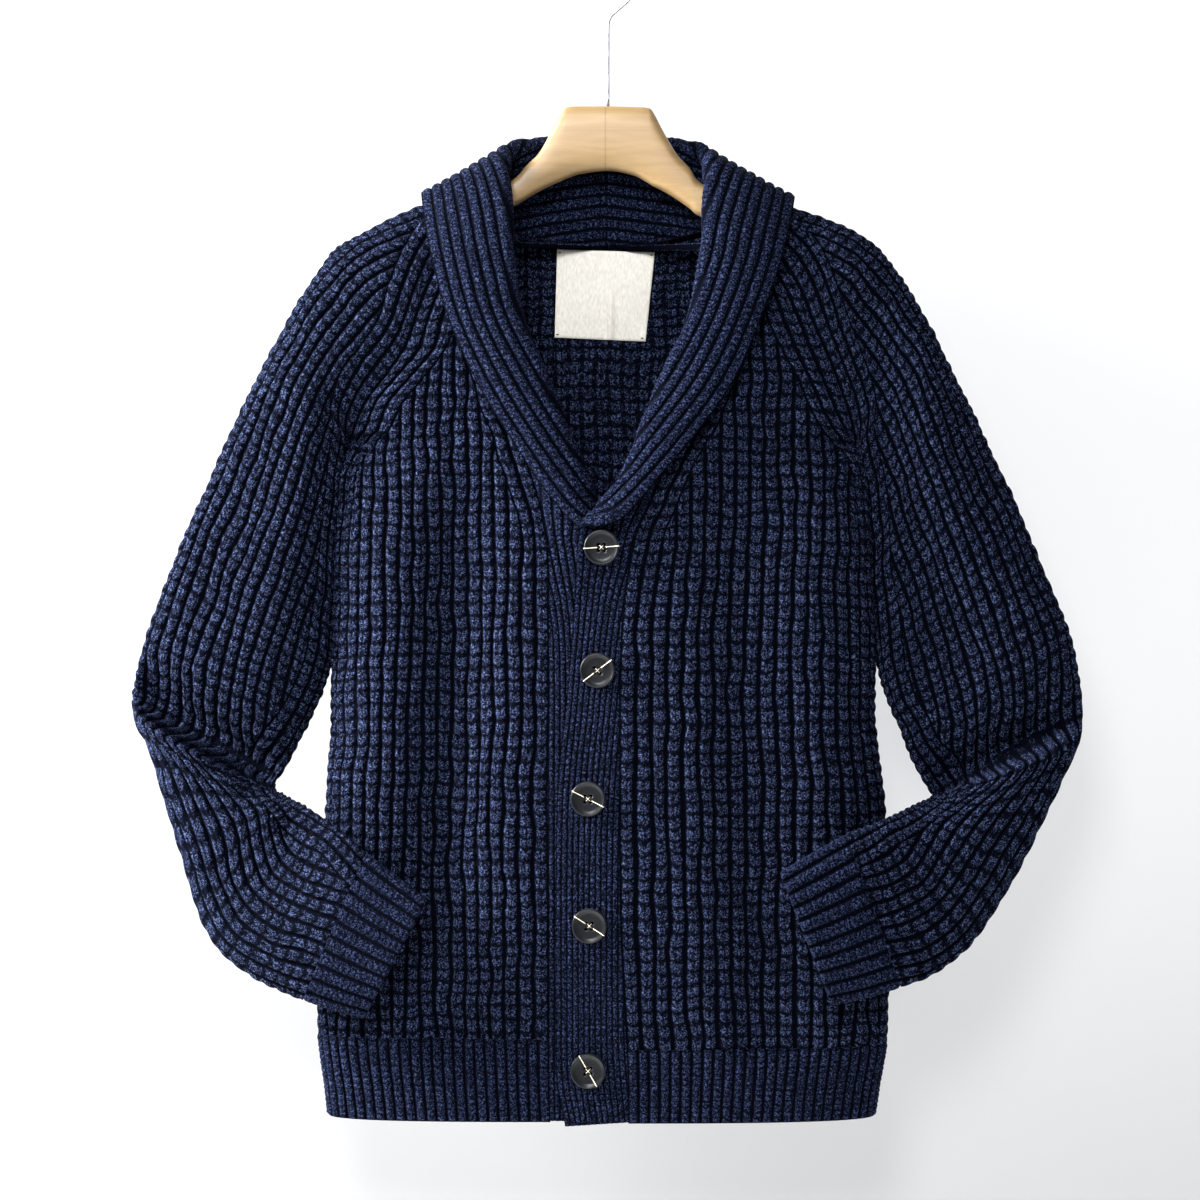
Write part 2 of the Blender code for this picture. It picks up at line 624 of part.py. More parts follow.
def build_body(knit, rib):
    """Sleeves, cuffs, fronts, back and hem pieces, sewn edge to edge along shared rows."""
    half = SEAM_GAP / 2
    down = np.array((0.0, 0.0, -1.0))
    yoke = yoke_positions()
    lower = lower_positions()
    seam_normals = {}
    for side, outward in (("right", 1), ("left", -1)):
        rows = SLEEVE_RIGHT if side == "right" else SLEEVE_LEFT
        cuff_row = CUFF_START[side]
        tube = np.concatenate(
            (np.arange(ARMPIT_ROW + 1, 16, 1.4), np.arange(16, 22, 1), np.arange(22, cuff_row, 1.5), [cuff_row])
        )
        positions = np.concatenate((yoke, tube))
        grid = sleeve_grid(rows, positions, SLEEVE_COLUMNS)
        normals = grid_normals(grid, outward)
        closed_from = len(yoke) - 1
        both = unit(normals[closed_from:, 0] + normals[closed_from:, -1])
        normals[closed_from:, 0] = normals[closed_from:, -1] = both
        shares = np.linspace(0, 1, FRONT_COLUMNS + 1)
        front_rows = np.concatenate((yoke[1:], lower))
        front = np.array([[front_point(side, p, s) for s in shares] for p in front_rows])
        front_normals = grid_normals(front, -outward)
        count = len(yoke)
        shared = unit(normals[1:count, 0] + front_normals[: count - 1, 0])
        shared[-1] = down
        normals[1:count, 0] = shared
        back_seam = unit(normals[:count, -1] * (1, 1, 0.2) + (0, 0.6, 0))
        back_seam[-1] = down
        normals[:count, -1] = seam_normals[side] = back_seam
        flatten_row(grid, normals, -1)
        moved = grid.copy()
        moved[: closed_from + 1] = inset_columns(grid[: closed_from + 1], half)
        moved[closed_from, 0] = moved[closed_from, -1] = grid[closed_from, 0] + (
            -half * outward * 1.4,
            0,
            0,
        )
        inner = moved - normals * KNIT_WALL
        inner[closed_from:, -1] = inner[closed_from:, 0]
        add_wall(f"sleeve_{side}", moved, inner, knit, closed_from)
        build_cuff(side, rows, cuff_row, outward, rib)
        sideways = np.tile((-outward, 0.0, 0.0), (len(lower), 1))
        edge_normals = np.concatenate((shared, sideways))
        share_edge(front_normals, 0, edge_normals, 1)
        level_rows(front_normals, -1)
        front = inset_columns(front, half)
        add_wall(f"front_{side}", front, front - front_normals * KNIT_WALL, knit)
        build_front_hem(side, outward, rib)
    build_back(np.concatenate((yoke, lower)), seam_normals, knit, rib)


def build_cuff(side, rows, cuff_row, outward, rib):
    positions = np.linspace(cuff_row, len(rows) - 1, 4)
    grid = sleeve_grid(rows, positions, CUFF_RIBS * 2)
    normals = grid_normals(grid, outward)
    both = unit(normals[:, 0] + normals[:, -1])
    normals[:, 0] = normals[:, -1] = both
    plane = flatten_row(grid, normals, 0)
    flatten_row(grid, normals, -1)
    grid[0] += plane * SEAM_GAP * np.sign(plane @ (grid[1, 0] - grid[0, 0]))
    raised = (np.arange(CUFF_RIBS * 2 + 1) % 2)[None, :, None] * CUFF_RIB_HEIGHT
    outer = grid + normals * (raised - CUFF_RIB_HEIGHT / 2)
    inner = grid - normals * (RIB_WALL + CUFF_RIB_HEIGHT / 2)
    inner[:, -1], outer[:, -1] = inner[:, 0], outer[:, 0]
    add_wall(f"cuff_{side}", outer, inner, rib, 0)


def rib_relief(columns):
    return (np.arange(columns) % 2)[None, :, None] * HEM_RIB_HEIGHT


def build_front_hem(side, outward, rib):
    ribs = FRONT_RIGHT_RIBS if side == "right" else FRONT_LEFT_RIBS
    shares = rib_shares(ribs * 2)
    grid = np.array([[front_point(side, p, s) for s in shares] for p in hem_positions()])
    normals = grid_normals(grid, -outward)
    normals[:, 0] = (-outward, 0, 0)
    level_rows(normals, 0, -1)
    grid = inset_columns(grid, SEAM_GAP / 2)
    outer = grid + normals * (rib_relief(grid.shape[1]) - HEM_RIB_HEIGHT / 2)
    inner = grid - normals * (RIB_WALL + HEM_RIB_HEIGHT / 2)
    add_wall(f"hem_front_{side}", outer, inner, rib)


def rib_shares(count):
    """Shares of a row that are evenly spread along its width rather than by angle."""
    even = np.linspace(0, 1, count + 1)
    angles = np.linspace(0, 1, 200)
    width = 1 - np.clip(np.cos(angles * math.pi / 2), 0, 1) ** (2 / BODY_ROUNDNESS)
    depth = 0.2 * np.sin(angles * math.pi / 2) ** (2 / BODY_ROUNDNESS)
    reached = np.concatenate(([0], np.cumsum(np.hypot(np.diff(width), np.diff(depth)))))
    return np.interp(even * reached[-1], reached, angles)


def build_back(positions, seam_normals, knit, rib):
    shares = np.linspace(0, 2, BACK_COLUMNS + 1)
    grid = np.array([[back_point(p, s) for s in shares] for p in positions])
    normals = grid_normals(grid, 1)
    yoke_count = len(seam_normals["right"])
    for side, column, outward in (("right", 0, -1), ("left", -1, 1)):
        edge = np.tile((float(outward), 0.0, 0.0), (len(positions), 1))
        edge[:yoke_count] = seam_normals[side]
        share_edge(normals, column, edge, 1)
    level_rows(normals, -1)
    grid = inset_columns(grid, SEAM_GAP / 2)
    add_wall("back", grid, grid - normals * KNIT_WALL, knit)
    half_shares = rib_shares(BACK_RIBS)
    shares = np.concatenate((half_shares, 2 - half_shares[-2::-1]))
    grid = np.array([[back_point(p, s) for s in shares] for p in hem_positions()])
    normals = grid_normals(grid, 1)
    normals[:, 0] = (-1, 0, 0)
    normals[:, -1] = (1, 0, 0)
    level_rows(normals, 0, -1)
    grid = inset_columns(grid, SEAM_GAP / 2)
    outer = grid + normals * (rib_relief(grid.shape[1]) - HEM_RIB_HEIGHT / 2)
    add_wall("hem_back", outer, grid - normals * (RIB_WALL + HEM_RIB_HEIGHT / 2), rib)


def collar_grid(side, positions, shares):
    rows, outward = (COLLAR_RIGHT, 1) if side == "right" else (COLLAR_LEFT, -1)
    grid = np.array([even_points(collar_path(rows, p, outward), shares) for p in positions])
    normals = grid_normals(grid, outward)
    return grid, normals


def yoke_positions():
    return np.linspace(0.25, ARMPIT_ROW, YOKE_ROWS)


def lower_positions():
    return np.linspace(ARMPIT_ROW, HEM_ROW, LOWER_ROWS + 1)[1:]


def hem_positions():
    return np.linspace(HEM_ROW + SEAM_GAP / (HEM_BOTTOM - HEM_TOP["right"]), HEM_ROW + 1, 3)


def collar_positions(side):
    """Rows of the collar: level with the rows of the front beside it, then round the neck."""
    rows = COLLAR_RIGHT if side == "right" else COLLAR_LEFT
    beside = np.concatenate((yoke_positions()[2::2], lower_positions()))
    drops = sorted(-body_edge(side, 1, place)[2] for place in beside)
    level = [position_of(rows, 1, drop) for drop in reversed(drops)]
    v_rows = [position_of(rows, 1, drop) for drop in (450, 434, 420, 403)]
    level = sorted(level + v_rows)
    last = len(rows) - 1
    neck = np.linspace(level[-1], last, NECK_ROWS + 1)[1:]
    hem = position_of(rows, 1, (HEM_TOP[side] + HEM_BOTTOM) / 2)
    return np.concatenate(([0, hem], level, neck))


def collar_faces(side):
    """The two faces of one half of the collar, each a grid of points."""
    columns = COLLAR_RIBS * 2
    grid, normals = collar_grid(side, collar_positions(side), np.linspace(0, 1, columns + 1))
    normals[-1, :, 0] = 0
    normals[-1] = unit(normals[-1])
    grid[-1, :, 0] = -SEAM_GAP / 2 if side == "right" else SEAM_GAP / 2
    grid = inset_columns(grid, SEAM_GAP, last=False)
    wave = ((np.arange(columns + 1) % 2) * 2 - 1)[None, :, None] * COLLAR_RIB_HEIGHT
    return grid + normals * wave, grid + normals * (wave - COLLAR_WALL)


def build_collar(side, knit):
    outer, inner = collar_faces(side)
    return add_wall(f"button_band_collar_{side}", outer, inner, knit)


def build_label(cloth):
    corners = np.array(LABEL_CORNERS, float)
    outer, inner = [], []
    for row in np.linspace(0, 1, LABEL_CELLS + 1):
        line = []
        for column in np.linspace(0, 1, LABEL_CELLS + 1):
            x, drop = mix(mix(corners[0], corners[1], column), mix(corners[3], corners[2], column), row)
            y = back_middle(drop) - KNIT_WALL - LABEL_GAP - 1.2 * abs(x) / 40
            line.append(space_point(x, drop, y))
        outer.append(line)
    outer = np.array(outer)
    inner = outer - (0, LABEL_WALL, 0)
    add_wall("neck_label", outer, inner, cloth)


def build_hanger(wood):
    angles = np.linspace(0, 2 * math.pi, HANGER_SIDES, endpoint=False) + math.pi / HANGER_SIDES
    rings = []
    for row in HANGER:
        height, middle = (row.bottom - row.top) / 2, (row.bottom + row.top) / 2
        ring = []
        for angle in angles:
            y, z = math.cos(angle), math.sin(angle)
            y = math.copysign(abs(y) ** (2 / HANGER_ROUNDNESS), y) * row.half_thickness
            z = math.copysign(abs(z) ** (2 / HANGER_ROUNDNESS), z) * height
            ring.append((row.x, y, z - middle))
        rings.append(ring)
    add_rings("hanger", np.array(rings), wood)


def build_hook(steel):
    angles = np.radians(np.linspace(HOOK_LOOP_FROM, HOOK_LOOP_TO, HOOK_LOOP_STEPS))
    loop = [(HOOK_LOOP * math.cos(a), 0, HOOK_LOOP * math.sin(a) - HOOK_LOOP_CENTRE) for a in angles]
    foot = min(row.top for row in HANGER) - SEAM_GAP
    start = loop[0]
    bend = (HOOK_STEM_X, 0, -HOOK_STEM_BEND)
    path = np.array(
        [(HOOK_STEM_X, 0, -foot), mix(np.array((HOOK_STEM_X, 0, -foot)), np.array(bend), 0.9),
         mix(np.array(bend), np.array(start), 0.12), mix(np.array(bend), np.array(start), 0.6), *loop]
    )
    rings = []
    for index in range(len(path)):
        run = unit(path[min(index + 1, len(path) - 1)] - path[max(index - 1, 0)])
        if index == 0:
            run = np.array((0.0, 0.0, 1.0))
        side = np.array((0.0, 1.0, 0.0))
        other = np.cross(run, side)
        turns = np.linspace(0, 2 * math.pi, HOOK_SIDES, endpoint=False)
        rings.append([path[index] + HOOK_WIRE * (math.cos(t) * side + math.sin(t) * other) for t in turns])
    add_rings("hook", np.array(rings), steel)


def finer(grid, times):
    """A grid with its cells divided, rows and columns alike, without leaving their faces."""
    for axis in (0, 1):
        count = grid.shape[axis]
        wanted = np.linspace(0, count - 1, (count - 1) * times + 1)
        low = np.minimum(wanted.astype(int), count - 2)
        share = (wanted - low).reshape((-1, 1, 1) if axis == 0 else (1, -1, 1))
        grid = mix(np.take(grid, low, axis), np.take(grid, low + 1, axis), share)
    return grid


def front_of_band(button):
    """The most forward place of the left band under a button."""
    places = np.concatenate([finer(face, 10).reshape(-1, 3) for face in collar_faces("left")])
    near = np.hypot(places[:, 0] - button.x, -places[:, 2] - button.drop) < BUTTON_RADIUS
    return places[near, 1].min()


def flat_ring_faces(rim, holes):
    """Triangles of a flat disc between its rim and its holes, as indices into rim + holes."""
    points = [tuple(p) for p in np.concatenate((rim, *holes))]
    edges, start = [], 0
    for ring in (rim, *holes):
        edges.extend((start + i, start + (i + 1) % len(ring)) for i in range(len(ring)))
        start += len(ring)
    found = delaunay_2d_cdt([Vector(p) for p in points], edges, [], 0, 1e-6)
    source = [ids[0] for ids in found[3]]
    triangles = [tuple(source[i] for i in face) for face in found[2]]
    middles = np.array([np.mean([points[i] for i in face], axis=0) for face in triangles])
    inside = np.zeros(len(triangles), bool)
    for hole in holes:
        inside |= np.linalg.norm(middles - np.mean(hole, axis=0), axis=1) < HOLE_RADIUS * 0.9
    return [face for face, hidden in zip(triangles, inside) if not hidden]


def build_button(number, button, horn):
    """A dished button with four through holes, in two pairs across its thread."""
    back = front_of_band(button) - BUTTON_LIFT
    angle = math.radians(button.thread_angle)
    holes = []
    for along, across in ((-1, -1), (1, -1), (1, 1), (-1, 1)):
        one, two = HOLE_SPREAD * along, HOLE_SPREAD * across * HOLE_PAIRING
        middle = (
            one * math.cos(angle) - two * math.sin(angle),
            one * math.sin(angle) + two * math.cos(angle),
        )
        holes.append(circle(HOLE_RADIUS, HOLE_SEGMENTS) + middle)
    rings = [circle(radius, BUTTON_SEGMENTS) for radius, _ in BUTTON_PROFILE]
    heights = [height for _, height in BUTTON_PROFILE]
    flat = [(ring, height) for ring, height in zip(rings, heights)]
    flat += [(hole, heights[0]) for hole in holes] + [(hole, heights[-1]) for hole in holes]
    starts = np.concatenate(([0], np.cumsum([len(ring) for ring, _ in flat])))
    points = np.array(
        [(button.x + x, back - height, z - button.drop) for ring, height in flat for x, z in ring]
    )
    triangles = []
    for ring in range(len(rings) - 1):
        triangles.extend(tube_faces(starts[ring], starts[ring + 1], BUTTON_SEGMENTS, False))
    for end, first_hole in ((0, len(rings)), (len(rings) - 1, len(rings) + len(holes))):
        names = list(range(starts[end], starts[end + 1]))
        for hole in range(len(holes)):
            names.extend(range(starts[first_hole + hole], starts[first_hole + hole + 1]))
        for a, b, c in flat_ring_faces(rings[end], holes):
            flipped = (a, c, b) if end == 0 else (a, b, c)
            triangles.append(tuple(names[i] for i in flipped))
    for hole in range(len(holes)):
        low, high = starts[len(rings) + hole], starts[len(rings) + len(holes) + hole]
        triangles.extend(tube_faces(low, high, HOLE_SEGMENTS, True))
    add_mesh(f"button_{number}", points, triangles, horn)


def circle(radius, segments):
    turns = np.linspace(0, 2 * math.pi, segments, endpoint=False)
    return np.stack((radius * np.cos(turns), radius * np.sin(turns)), axis=1)


def tube_faces(low, high, count, inwards):
    """Triangles between two rings of points that start at two numbers."""
    faces = []
    for side in range(count):
        following = (side + 1) % count
        a, b, c, d = low + side, low + following, high + following, high + side
        faces.extend(((a, c, b), (a, d, c)) if inwards else ((a, b, c), (a, c, d)))
    return faces


def build():
    for old in list(bpy.data.objects):
        bpy.data.objects.remove(old, do_unlink=True)
    knit = material("navy_waffle_knit", (0.016, 0.024, 0.062), 0.9)
    rib = material("navy_rib_knit", (0.014, 0.021, 0.055), 0.9)
    wood = material("varnished_beech", (0.62, 0.42, 0.24), 0.35)
    steel = material("hook_steel", (0.62, 0.62, 0.62), 0.3, 1.0)
    horn = material("charcoal_button", (0.02, 0.02, 0.022), 0.3)
    woven = material("cream_label", (0.78, 0.76, 0.7), 0.8)
    build_body(knit, rib)
    for side in ("right", "left"):
        build_collar(side, rib)
    build_label(woven)
    build_hanger(wood)
    build_hook(steel)
    for number, button in enumerate(BUTTONS, 1):
        build_button(number, button, horn)


build()
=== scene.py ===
"""The look of a man's shawl-collar cardigan in chunky navy waffle knit on a beech hanger.

Lengths are in millimetres until a mesh is made. x runs to the viewer's right, y away
from the viewer, and drop is the distance below the crown of the hook, so z = -drop.
The wearer's right is on the viewer's left.
"""

import math
from collections import namedtuple

import bpy
import numpy as np
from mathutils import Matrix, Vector


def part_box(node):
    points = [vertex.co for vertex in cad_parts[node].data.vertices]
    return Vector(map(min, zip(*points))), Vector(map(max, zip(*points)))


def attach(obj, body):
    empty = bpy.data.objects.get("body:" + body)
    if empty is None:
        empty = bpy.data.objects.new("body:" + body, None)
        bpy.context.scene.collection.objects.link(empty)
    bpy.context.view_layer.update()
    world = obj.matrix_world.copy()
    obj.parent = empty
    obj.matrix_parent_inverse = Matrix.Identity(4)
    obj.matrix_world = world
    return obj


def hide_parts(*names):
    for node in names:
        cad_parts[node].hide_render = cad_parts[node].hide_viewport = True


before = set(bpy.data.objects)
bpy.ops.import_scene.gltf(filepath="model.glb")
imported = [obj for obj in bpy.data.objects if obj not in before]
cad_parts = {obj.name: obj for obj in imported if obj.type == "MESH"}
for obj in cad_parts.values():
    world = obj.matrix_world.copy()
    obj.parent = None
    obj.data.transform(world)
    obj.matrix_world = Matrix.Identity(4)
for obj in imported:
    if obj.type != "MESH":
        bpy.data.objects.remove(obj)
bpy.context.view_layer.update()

MM = 0.001

KNIT_WALL = 4.0  # thickness of the waffle knit
RIB_WALL = 3.4  # thickness of the ribbed hem and cuffs, between their ribs
COLLAR_WALL = 3.8  # thickness of the band and collar
SEAM_GAP = 0.3  # clear space between two pieces that are sewn together
ROLL_RADIUS = 3.2  # inside of the fold along the collar's top edge
NECK_CURVE = 2.2  # exponent of the back neck's scoop
ROUNDNESS = 2.6  # exponent of the sleeves' flattened sections
BODY_ROUNDNESS = 2.8

ARMPIT_ROW = 8  # row of the sleeve tables where the sleeve closes to a tube
HEM_ROW = 9  # the body's rows count on from the armpit: 9 is the top of the hem, 10 its bottom

FRONT_RIGHT_RIBS = 24
FRONT_LEFT_RIBS = 27
BACK_RIBS = 58
CUFF_RIBS = 22

HEM_BOTTOM = 878
HEM_TOP = {"right": 816, "left": 823}  # drop where the waffle turns to rib
BACK_HEM_LONGER = 3
NECK_DIP = 24  # how far the back neck's middle lies below its corners

# One row for each section of a sleeve, from the neck to the cuff's open end. The
# section runs from the front seam over the outer ridge to the back seam. Up to the
# armpit it is an arc of 2 x cut degrees, and from there on a closed tube.
SleeveRow = namedtuple(
    "SleeveRow",
    "ridge_x ridge_drop ridge_y front_x front_drop back_x back_drop "
    "inner_y front_depth back_depth cut lift",
)
SLEEVE_RIGHT = (
    SleeveRow(-116, 182, 0, -113, 210, -105, 191, 0, 20, 15, 90, 0),
    SleeveRow(-139, 189, 0, -121, 223, -116, 205, 0, 23, 18, 97, 0),
    SleeveRow(-164, 199, 0, -130, 240, -128, 224, 0, 27, 21, 103, 0),
    SleeveRow(-187, 211, 0, -140, 264, -140, 252, 0, 31, 24, 109, 0),
    SleeveRow(-207, 223, 0, -152, 297, -154, 290, 0, 32, 27, 116, 0),
    SleeveRow(-220, 240, 0, -167, 320, -169, 316, 0, 33, 29, 124, 0),
    SleeveRow(-234, 261, 0, -183, 341, -185, 339, 0, 34, 30, 136, 0),
    SleeveRow(-245, 281, 0, -192, 361, -194, 360, 0, 34, 30, 155, 0),
    SleeveRow(-255, 299, 0, -197, 373, -197, 373, 0, 34, 30, 180, 0),
    SleeveRow(-272, 332, 0, -201, 409, -201, 409, 0, 33, 29, 180, 0),
    SleeveRow(-289, 367, 0, -204, 447, -204, 447, 0, 32, 28, 180, 0),
    SleeveRow(-304, 402, 0, -206, 481, -206, 481, 0, 31, 28, 180, 0),
    SleeveRow(-318, 432, -1, -208, 513, -208, 513, -1, 30, 28, 180, 0),
    SleeveRow(-331, 465, -2, -211, 541, -211, 541, -2, 29, 28, 180, 0),
    SleeveRow(-343, 496, -3, -218, 562, -218, 562, -4, 27, 28, 180, 0),
    SleeveRow(-352, 523, -4, -228, 584, -228, 584, -6, 23, 28, 180, 0),
    SleeveRow(-358, 544, -5, -238, 604, -238, 604, -8, 16, 28, 180, 0),
    SleeveRow(-360, 556, -6, -246, 619, -246, 619, -10, 8, 28, 180, 0),
    SleeveRow(-361, 562, -7, -251, 626, -251, 626, -12, 7, 28, 180, -3),
    SleeveRow(-360, 567, -8, -253, 630, -253, 630, -14, 20, 28, 180, 5),
    SleeveRow(-359, 574, -10, -252, 632, -252, 632, -16, 29, 28, 180, 7),
    SleeveRow(-355, 585, -12, -251, 632, -251, 632, -17, 31, 27, 180, 3),
    SleeveRow(-346, 602, -15, -249, 634, -249, 634, -19, 31, 26, 180, 0),
    SleeveRow(-334, 640, -19, -245, 635, -245, 635, -22, 30, 25, 180, 0),
    SleeveRow(-320, 681, -24, -239, 638, -239, 638, -27, 29, 24, 180, 0),
    SleeveRow(-308, 720, -29, -231, 641, -231, 641, -33, 27, 22, 180, 0),
    SleeveRow(-291, 750, -35, -220, 647, -220, 647, -40, 25, 20, 180, 0),
    SleeveRow(-267, 768, -42, -204, 656, -204, 656, -48, 23, 18, 180, 0),
    SleeveRow(-245, 778, -50, -191, 665, -191, 665, -56, 20, 15, 180, 0),
    SleeveRow(-226, 785, -56, -179, 675, -179, 675, -62, 17, 13, 180, 0),
    SleeveRow(-204, 792, -60, -156, 692, -156, 692, -67, 14, 11, 180, 0),
    SleeveRow(-180, 798, -62, -133, 709, -133, 709, -70, 13, 10, 180, 0),
)
SLEEVE_LEFT = (
    SleeveRow(117, 185, 0, 116, 212, 105, 193, 0, 20, 15, 90, 0),
    SleeveRow(140, 191, 0, 125, 223, 117, 206, 0, 23, 18, 97, 0),
    SleeveRow(163, 199, 0, 134, 237, 130, 226, 0, 27, 21, 103, 0),
    SleeveRow(184, 208, 0, 145, 256, 143, 251, 0, 31, 24, 109, 0),
    SleeveRow(203, 220, 0, 155, 282, 156, 280, 0, 32, 27, 116, 0),
    SleeveRow(217, 237, 0, 168, 311, 169, 310, 0, 33, 29, 124, 0),
    SleeveRow(228, 253, 0, 178, 337, 180, 337, 0, 34, 30, 136, 0),
    SleeveRow(239, 272, 0, 185, 359, 186, 360, 0, 34, 30, 155, 0),
    SleeveRow(248, 288, 0, 189, 374, 189, 374, 0, 33, 30, 180, 0),
    SleeveRow(262, 317, 0, 195, 409, 195, 409, 0, 31, 29, 180, 0),
    SleeveRow(277, 346, 0, 198, 447, 198, 447, 1, 28, 28, 180, 0),
    SleeveRow(290, 375, 0, 199, 481, 199, 481, 2, 27, 28, 180, 0),
    SleeveRow(307, 410, -1, 202, 513, 202, 513, 2, 28, 28, 180, 0),
    SleeveRow(324, 451, -2, 206, 544, 206, 544, 1, 29, 28, 180, 0),
    SleeveRow(339, 487, -3, 213, 566, 213, 566, -1, 28, 28, 180, 0),
    SleeveRow(350, 515, -4, 222, 588, 222, 588, -4, 25, 28, 180, 0),
    SleeveRow(356, 540, -5, 230, 609, 230, 609, -7, 18, 28, 180, 0),
    SleeveRow(359, 559, -6, 238, 625, 238, 625, -10, 11, 28, 180, 0),
    SleeveRow(360, 570, -7, 243, 633, 243, 633, -12, 9, 28, 180, -2),
    SleeveRow(359, 581, -8, 245, 637, 245, 637, -14, 20, 28, 180, 4),
    SleeveRow(357, 590, -10, 244, 638, 244, 638, -16, 28, 28, 180, 6),
    SleeveRow(354, 601, -12, 242, 639, 242, 639, -17, 30, 27, 180, 3),
    SleeveRow(346, 617, -15, 240, 640, 240, 640, -19, 30, 26, 180, 0),
    SleeveRow(330, 649, -19, 234, 642, 234, 642, -22, 30, 25, 180, 0),
    SleeveRow(311, 686, -24, 226, 645, 226, 645, -27, 28, 24, 180, 0),
    SleeveRow(292, 718, -29, 216, 649, 216, 649, -34, 26, 21, 180, 0),
    SleeveRow(270, 747, -35, 204, 653, 204, 653, -42, 24, 19, 180, 0),
    SleeveRow(244, 766, -43, 190, 658, 190, 658, -50, 21, 16, 180, 0),
    SleeveRow(217, 776, -52, 176, 662, 176, 662, -58, 18, 14, 180, 0),
    SleeveRow(191, 783, -59, 151, 675, 151, 675, -66, 15, 12, 180, 0),
    SleeveRow(165, 788, -64, 126, 689, 126, 689, -71, 13, 10, 180, 0),
)
CUFF_START = {"right": 29, "left": 28}  # table row where the waffle turns to rib

# The side seams, and how far the middle of the back stands behind them.
BodyRow = namedtuple("BodyRow", "drop right_x left_x side_y back_y")
BODY = (
    BodyRow(191, -105, 105, 0, 24),
    BodyRow(217, -112, 112, 0, 26),
    BodyRow(260, -140, 140, 0, 31),
    BodyRow(320, -170, 170, 0, 36),
    BodyRow(374, -197, 189, 0, 38),
    BodyRow(413, -199, 193, 0, 39),
    BodyRow(459, -201, 195, 0, 39),
    BodyRow(531, -202, 198, 0, 38),
    BodyRow(565, -207, 200, 0, 37),
    BodyRow(611, -212, 206, -1, 36),
    BodyRow(652, -214, 210, -2, 35),
    BodyRow(717, -218, 211, -3, 34),
    BodyRow(793, -220, 212, -4, 31),
    BodyRow(823, -219, 211, -4, 30),
    BodyRow(858, -214, 205, -5, 27),
    BodyRow(886, -211, 201, -5, 26),
)

# The band and collar: seam is where it joins the body, roll is the edge that shows,
# and fall is the free edge of the part that turns over. Below the V, fall = roll.
CollarRow = namedtuple(
    "CollarRow",
    "seam_x seam_drop seam_y roll_x roll_drop roll_y fall_x fall_drop fall_y",
)
COLLAR_RIGHT = (
    CollarRow(-43, 877, -44, 2, 877, -44, 2, 877, -44),
    CollarRow(-44, 831, -46, 2, 831, -46, 2, 831, -46),
    CollarRow(-44, 734, -50, 2, 734, -50, 2, 734, -50),
    CollarRow(-45, 637, -51, 2, 637, -51, 2, 637, -51),
    CollarRow(-44, 563, -50, 2, 563, -50, 2, 563, -50),
    CollarRow(-44, 504, -48, 2, 504, -48, 2, 504, -48),
    CollarRow(-44, 470, -46, 3, 468, -46, 3, 468, -46),
    CollarRow(-45, 447, -45, 2, 446, -47, 2, 446, -47),
    CollarRow(-48, 428, -43, -5, 427, -47, -23, 431, -50),
    CollarRow(-54, 405, -41, -11, 404, -48, -44, 410, -52),
    CollarRow(-66, 369, -38, -25, 370, -47, -68, 375, -50),
    CollarRow(-82, 321, -34, -46, 318, -46, -98, 325, -46),
    CollarRow(-97, 275, -31, -63, 277, -45, -119, 277, -42),
    CollarRow(-107, 235, -27, -69, 237, -42, -130, 238, -37),
    CollarRow(-113, 210, -20, -71, 201, -34, -136, 211, -27),
    CollarRow(-116, 182, 0, -74, 161, -16, -140, 183, -6),
    CollarRow(-106, 189, 15, -71, 144, 1, -136, 190, 24),
    CollarRow(-75, 205, 22, -56, 136, 14, -112, 208, 39),
    CollarRow(-37, 215, 24, -29, 133, 22, -60, 224, 44),
    CollarRow(0, 217, 25, 0, 131, 25, 0, 229, 46),
)
COLLAR_LEFT = (
    CollarRow(15, 877, -50, -32, 880, -50, -32, 880, -50),
    CollarRow(14, 830, -52, -39, 830, -52, -39, 830, -52),
    CollarRow(9, 733, -56, -39, 733, -56, -39, 733, -56),
    CollarRow(8, 637, -57, -38, 637, -57, -38, 637, -57),
    CollarRow(8, 563, -56, -31, 563, -56, -31, 563, -56),
    CollarRow(10, 504, -56, -26, 504, -56, -26, 504, -56),
    CollarRow(14, 470, -56, -24, 467, -60, -24, 467, -60),
    CollarRow(20, 440, -55, -21, 437, -64, -21, 437, -64),
    CollarRow(30, 418, -52, -8, 419, -62, 10, 428, -67),
    CollarRow(41, 392, -48, 10, 394, -57, 38, 397, -62),
    CollarRow(61, 355, -42, 26, 353, -51, 70, 359, -55),
    CollarRow(78, 313, -37, 42, 314, -48, 95, 322, -50),
    CollarRow(95, 272, -33, 59, 277, -46, 114, 277, -46),
    CollarRow(106, 235, -28, 67, 237, -42, 127, 241, -39),
    CollarRow(116, 212, -20, 70, 203, -33, 134, 215, -28),
    CollarRow(117, 185, 0, 72, 163, -15, 140, 186, -6),
    CollarRow(106, 190, 15, 69, 146, 2, 136, 193, 24),
    CollarRow(75, 205, 22, 54, 137, 14, 112, 209, 39),
    CollarRow(35, 215, 24, 27, 134, 22, 60, 224, 44),
    CollarRow(0, 217, 25, 0, 131, 25, 0, 229, 46),
)

